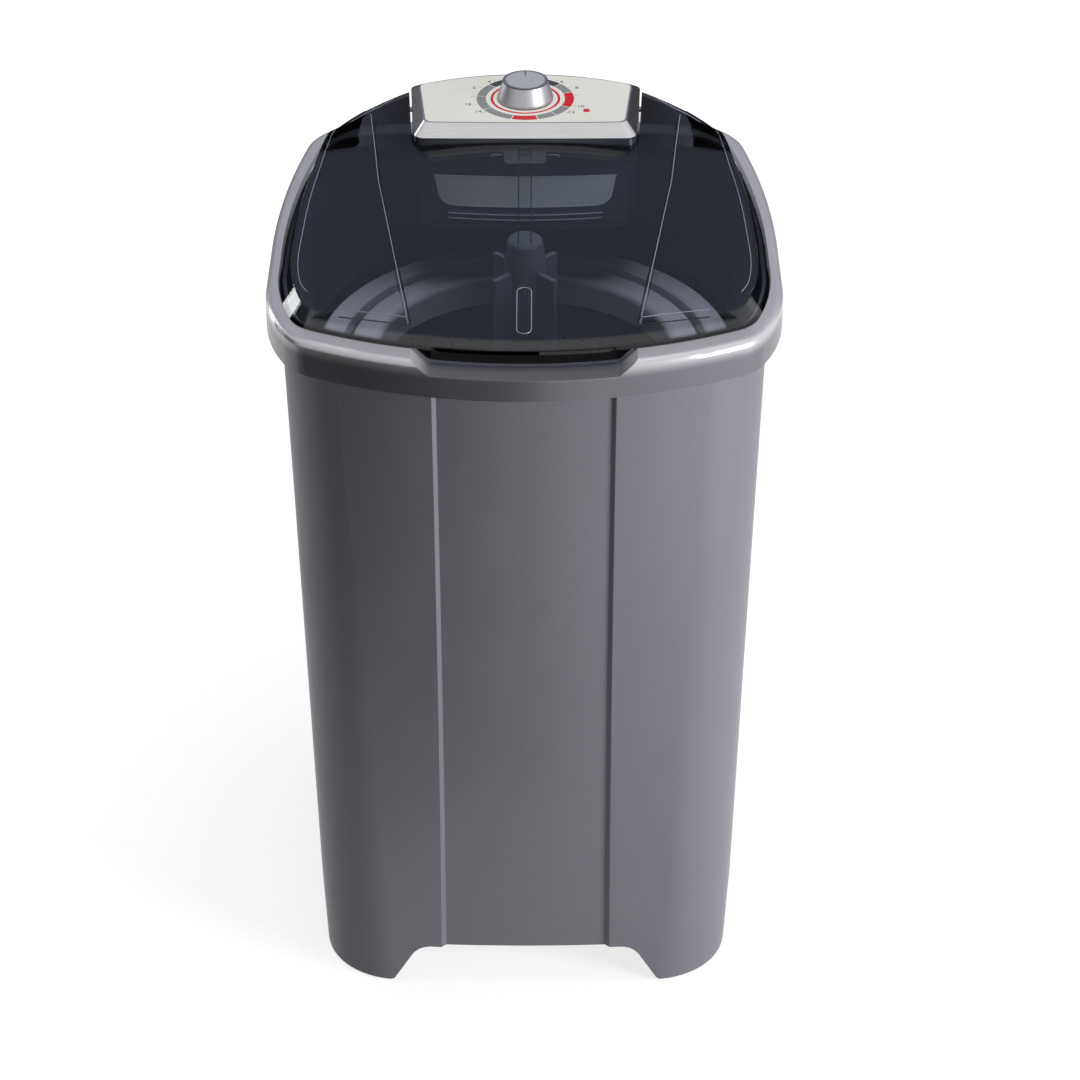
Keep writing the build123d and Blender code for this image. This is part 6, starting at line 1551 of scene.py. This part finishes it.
@dataclass
class Studio:
    """White floor, soft lamps, cloths for the reflections, pale world and the camera."""

    floor_half: float = 14.0
    camera_place: Point = (0.0168, -3.3507, 2.6116)
    camera_pitch: float = 33.0
    lens: float = 113.333
    sensor: float = 36.0
    view_reach: float = 100.0
    world_fill: float = 0.05
    lamps: tuple[StudioLamp, ...] = (
        StudioLamp("lamp_top", (0.2, 0.1, 3.0), (0.0, 0.0, 0.6), (1.8, 1.4), 42.0, mirrored=False),
        StudioLamp("lamp_right", (2.7, -1.7, 0.9), (0.0, 0.0, 0.45), (1.2, 1.6), 84.0),
        StudioLamp("lamp_left_edge", (-2.2, 1.6, 0.9), (0.0, 0.0, 0.5), (0.4, 1.8), 14.0))
    # Each cloth with its four corners.
    flags: tuple[tuple[StudioFlag, tuple[Point, ...]], ...] = (
        (StudioFlag("black_cloth_behind", "#1a1a1c"),
         ((-3.2, 2.4, 0.0), (3.2, 2.4, 0.0), (3.2, 2.4, 1.5), (-3.2, 2.4, 1.5))),
        (StudioFlag("grey_silk_above", "#8f95a8"),
         ((-3.2, 2.4, 1.5), (3.2, 2.4, 1.5), (3.2, 1.2, 4.4), (-3.2, 1.2, 4.4))),
        (StudioFlag("black_cloth_left", "#1a1a1c"),
         ((-3.4, -1.2, 0.0), (-3.4, 2.4, 0.0), (-3.4, 2.4, 2.4), (-3.4, -1.2, 2.4))),
        (StudioFlag("black_cloth_low", "#1a1a1c"),
         ((-3.4, -4.6, 0.01), (0.1, -4.6, 0.01), (0.1, -0.62, 0.01), (-3.4, -0.62, 0.01))))

    def add_flag(self, cloth: StudioFlag, corners: Sequence[Point]) -> None:
        """Hangs a cloth that shows in reflections alone.

        Args:
            cloth: Its finish, which names it.
            corners: Its four corners.
        """
        flag = mesh_object(cloth.name, lambda bm: bm.faces.new([bm.verts.new(corner) for corner in corners]))
        flag.data.materials.append(cloth.build())
        flag.visible_camera = False
        flag.visible_diffuse = False
        flag.visible_shadow = False
        flag.visible_transmission = False

    def build_world(self) -> None:
        """Makes a world that looks white and gives a low even fill."""
        world = bpy.data.worlds.new("studio_air")
        bpy.context.scene.world = world
        world.use_nodes = True
        tree = world.node_tree
        tree.nodes.clear()
        output = tree.nodes.new("ShaderNodeOutputWorld")
        strength = add_node(tree, "ShaderNodeMapRange", {"Value": seen_rays(tree)},
                            To_Min=self.world_fill, To_Max=1.0)
        air = add_node(tree, "ShaderNodeBackground", {"Strength": strength.outputs["Result"]},
                       Color=linear("#ffffff"))
        tree.links.new(air.outputs["Background"], output.inputs["Surface"])

    def build_camera(self) -> None:
        """Sets the camera that the photograph was fitted with."""
        camera = bpy.data.cameras.new("camera")
        camera.lens = self.lens
        camera.sensor_width = self.sensor
        camera.clip_end = self.view_reach
        holder = bpy.data.objects.new("camera", camera)
        holder.location = self.camera_place
        holder.rotation_euler = (math.radians(90.0 - self.camera_pitch), 0.0, 0.0)
        bpy.context.scene.collection.objects.link(holder)
        bpy.context.scene.camera = holder
        bpy.context.scene.view_settings.view_transform = "Standard"

    def build(self) -> None:
        """Builds the whole studio."""
        half = self.floor_half
        corners = ((-half, -half, 0), (half, -half, 0), (half, half, 0), (-half, half, 0))
        floor = mesh_object("studio_floor", lambda bm: bm.faces.new([bm.verts.new(c) for c in corners]))
        floor.data.materials.append(StudioFloor().build())
        for lamp in self.lamps:
            lamp.hang()
        for cloth, edges in self.flags:
            self.add_flag(cloth, edges)
        self.build_world()
        self.build_camera()


def main() -> None:
    """Builds the studio and the machine, sub-assembly by sub-assembly."""
    logging.basicConfig(level=logging.INFO, format="%(message)s")
    for assembly in (Studio(), Cabinet(), Lid(), Console(), Filter(), Suspension(), Tub(), Basket()):
        assembly.build()
        LOG.info("%s done", type(assembly).__name__)


if __name__ == "__main__":
    main()
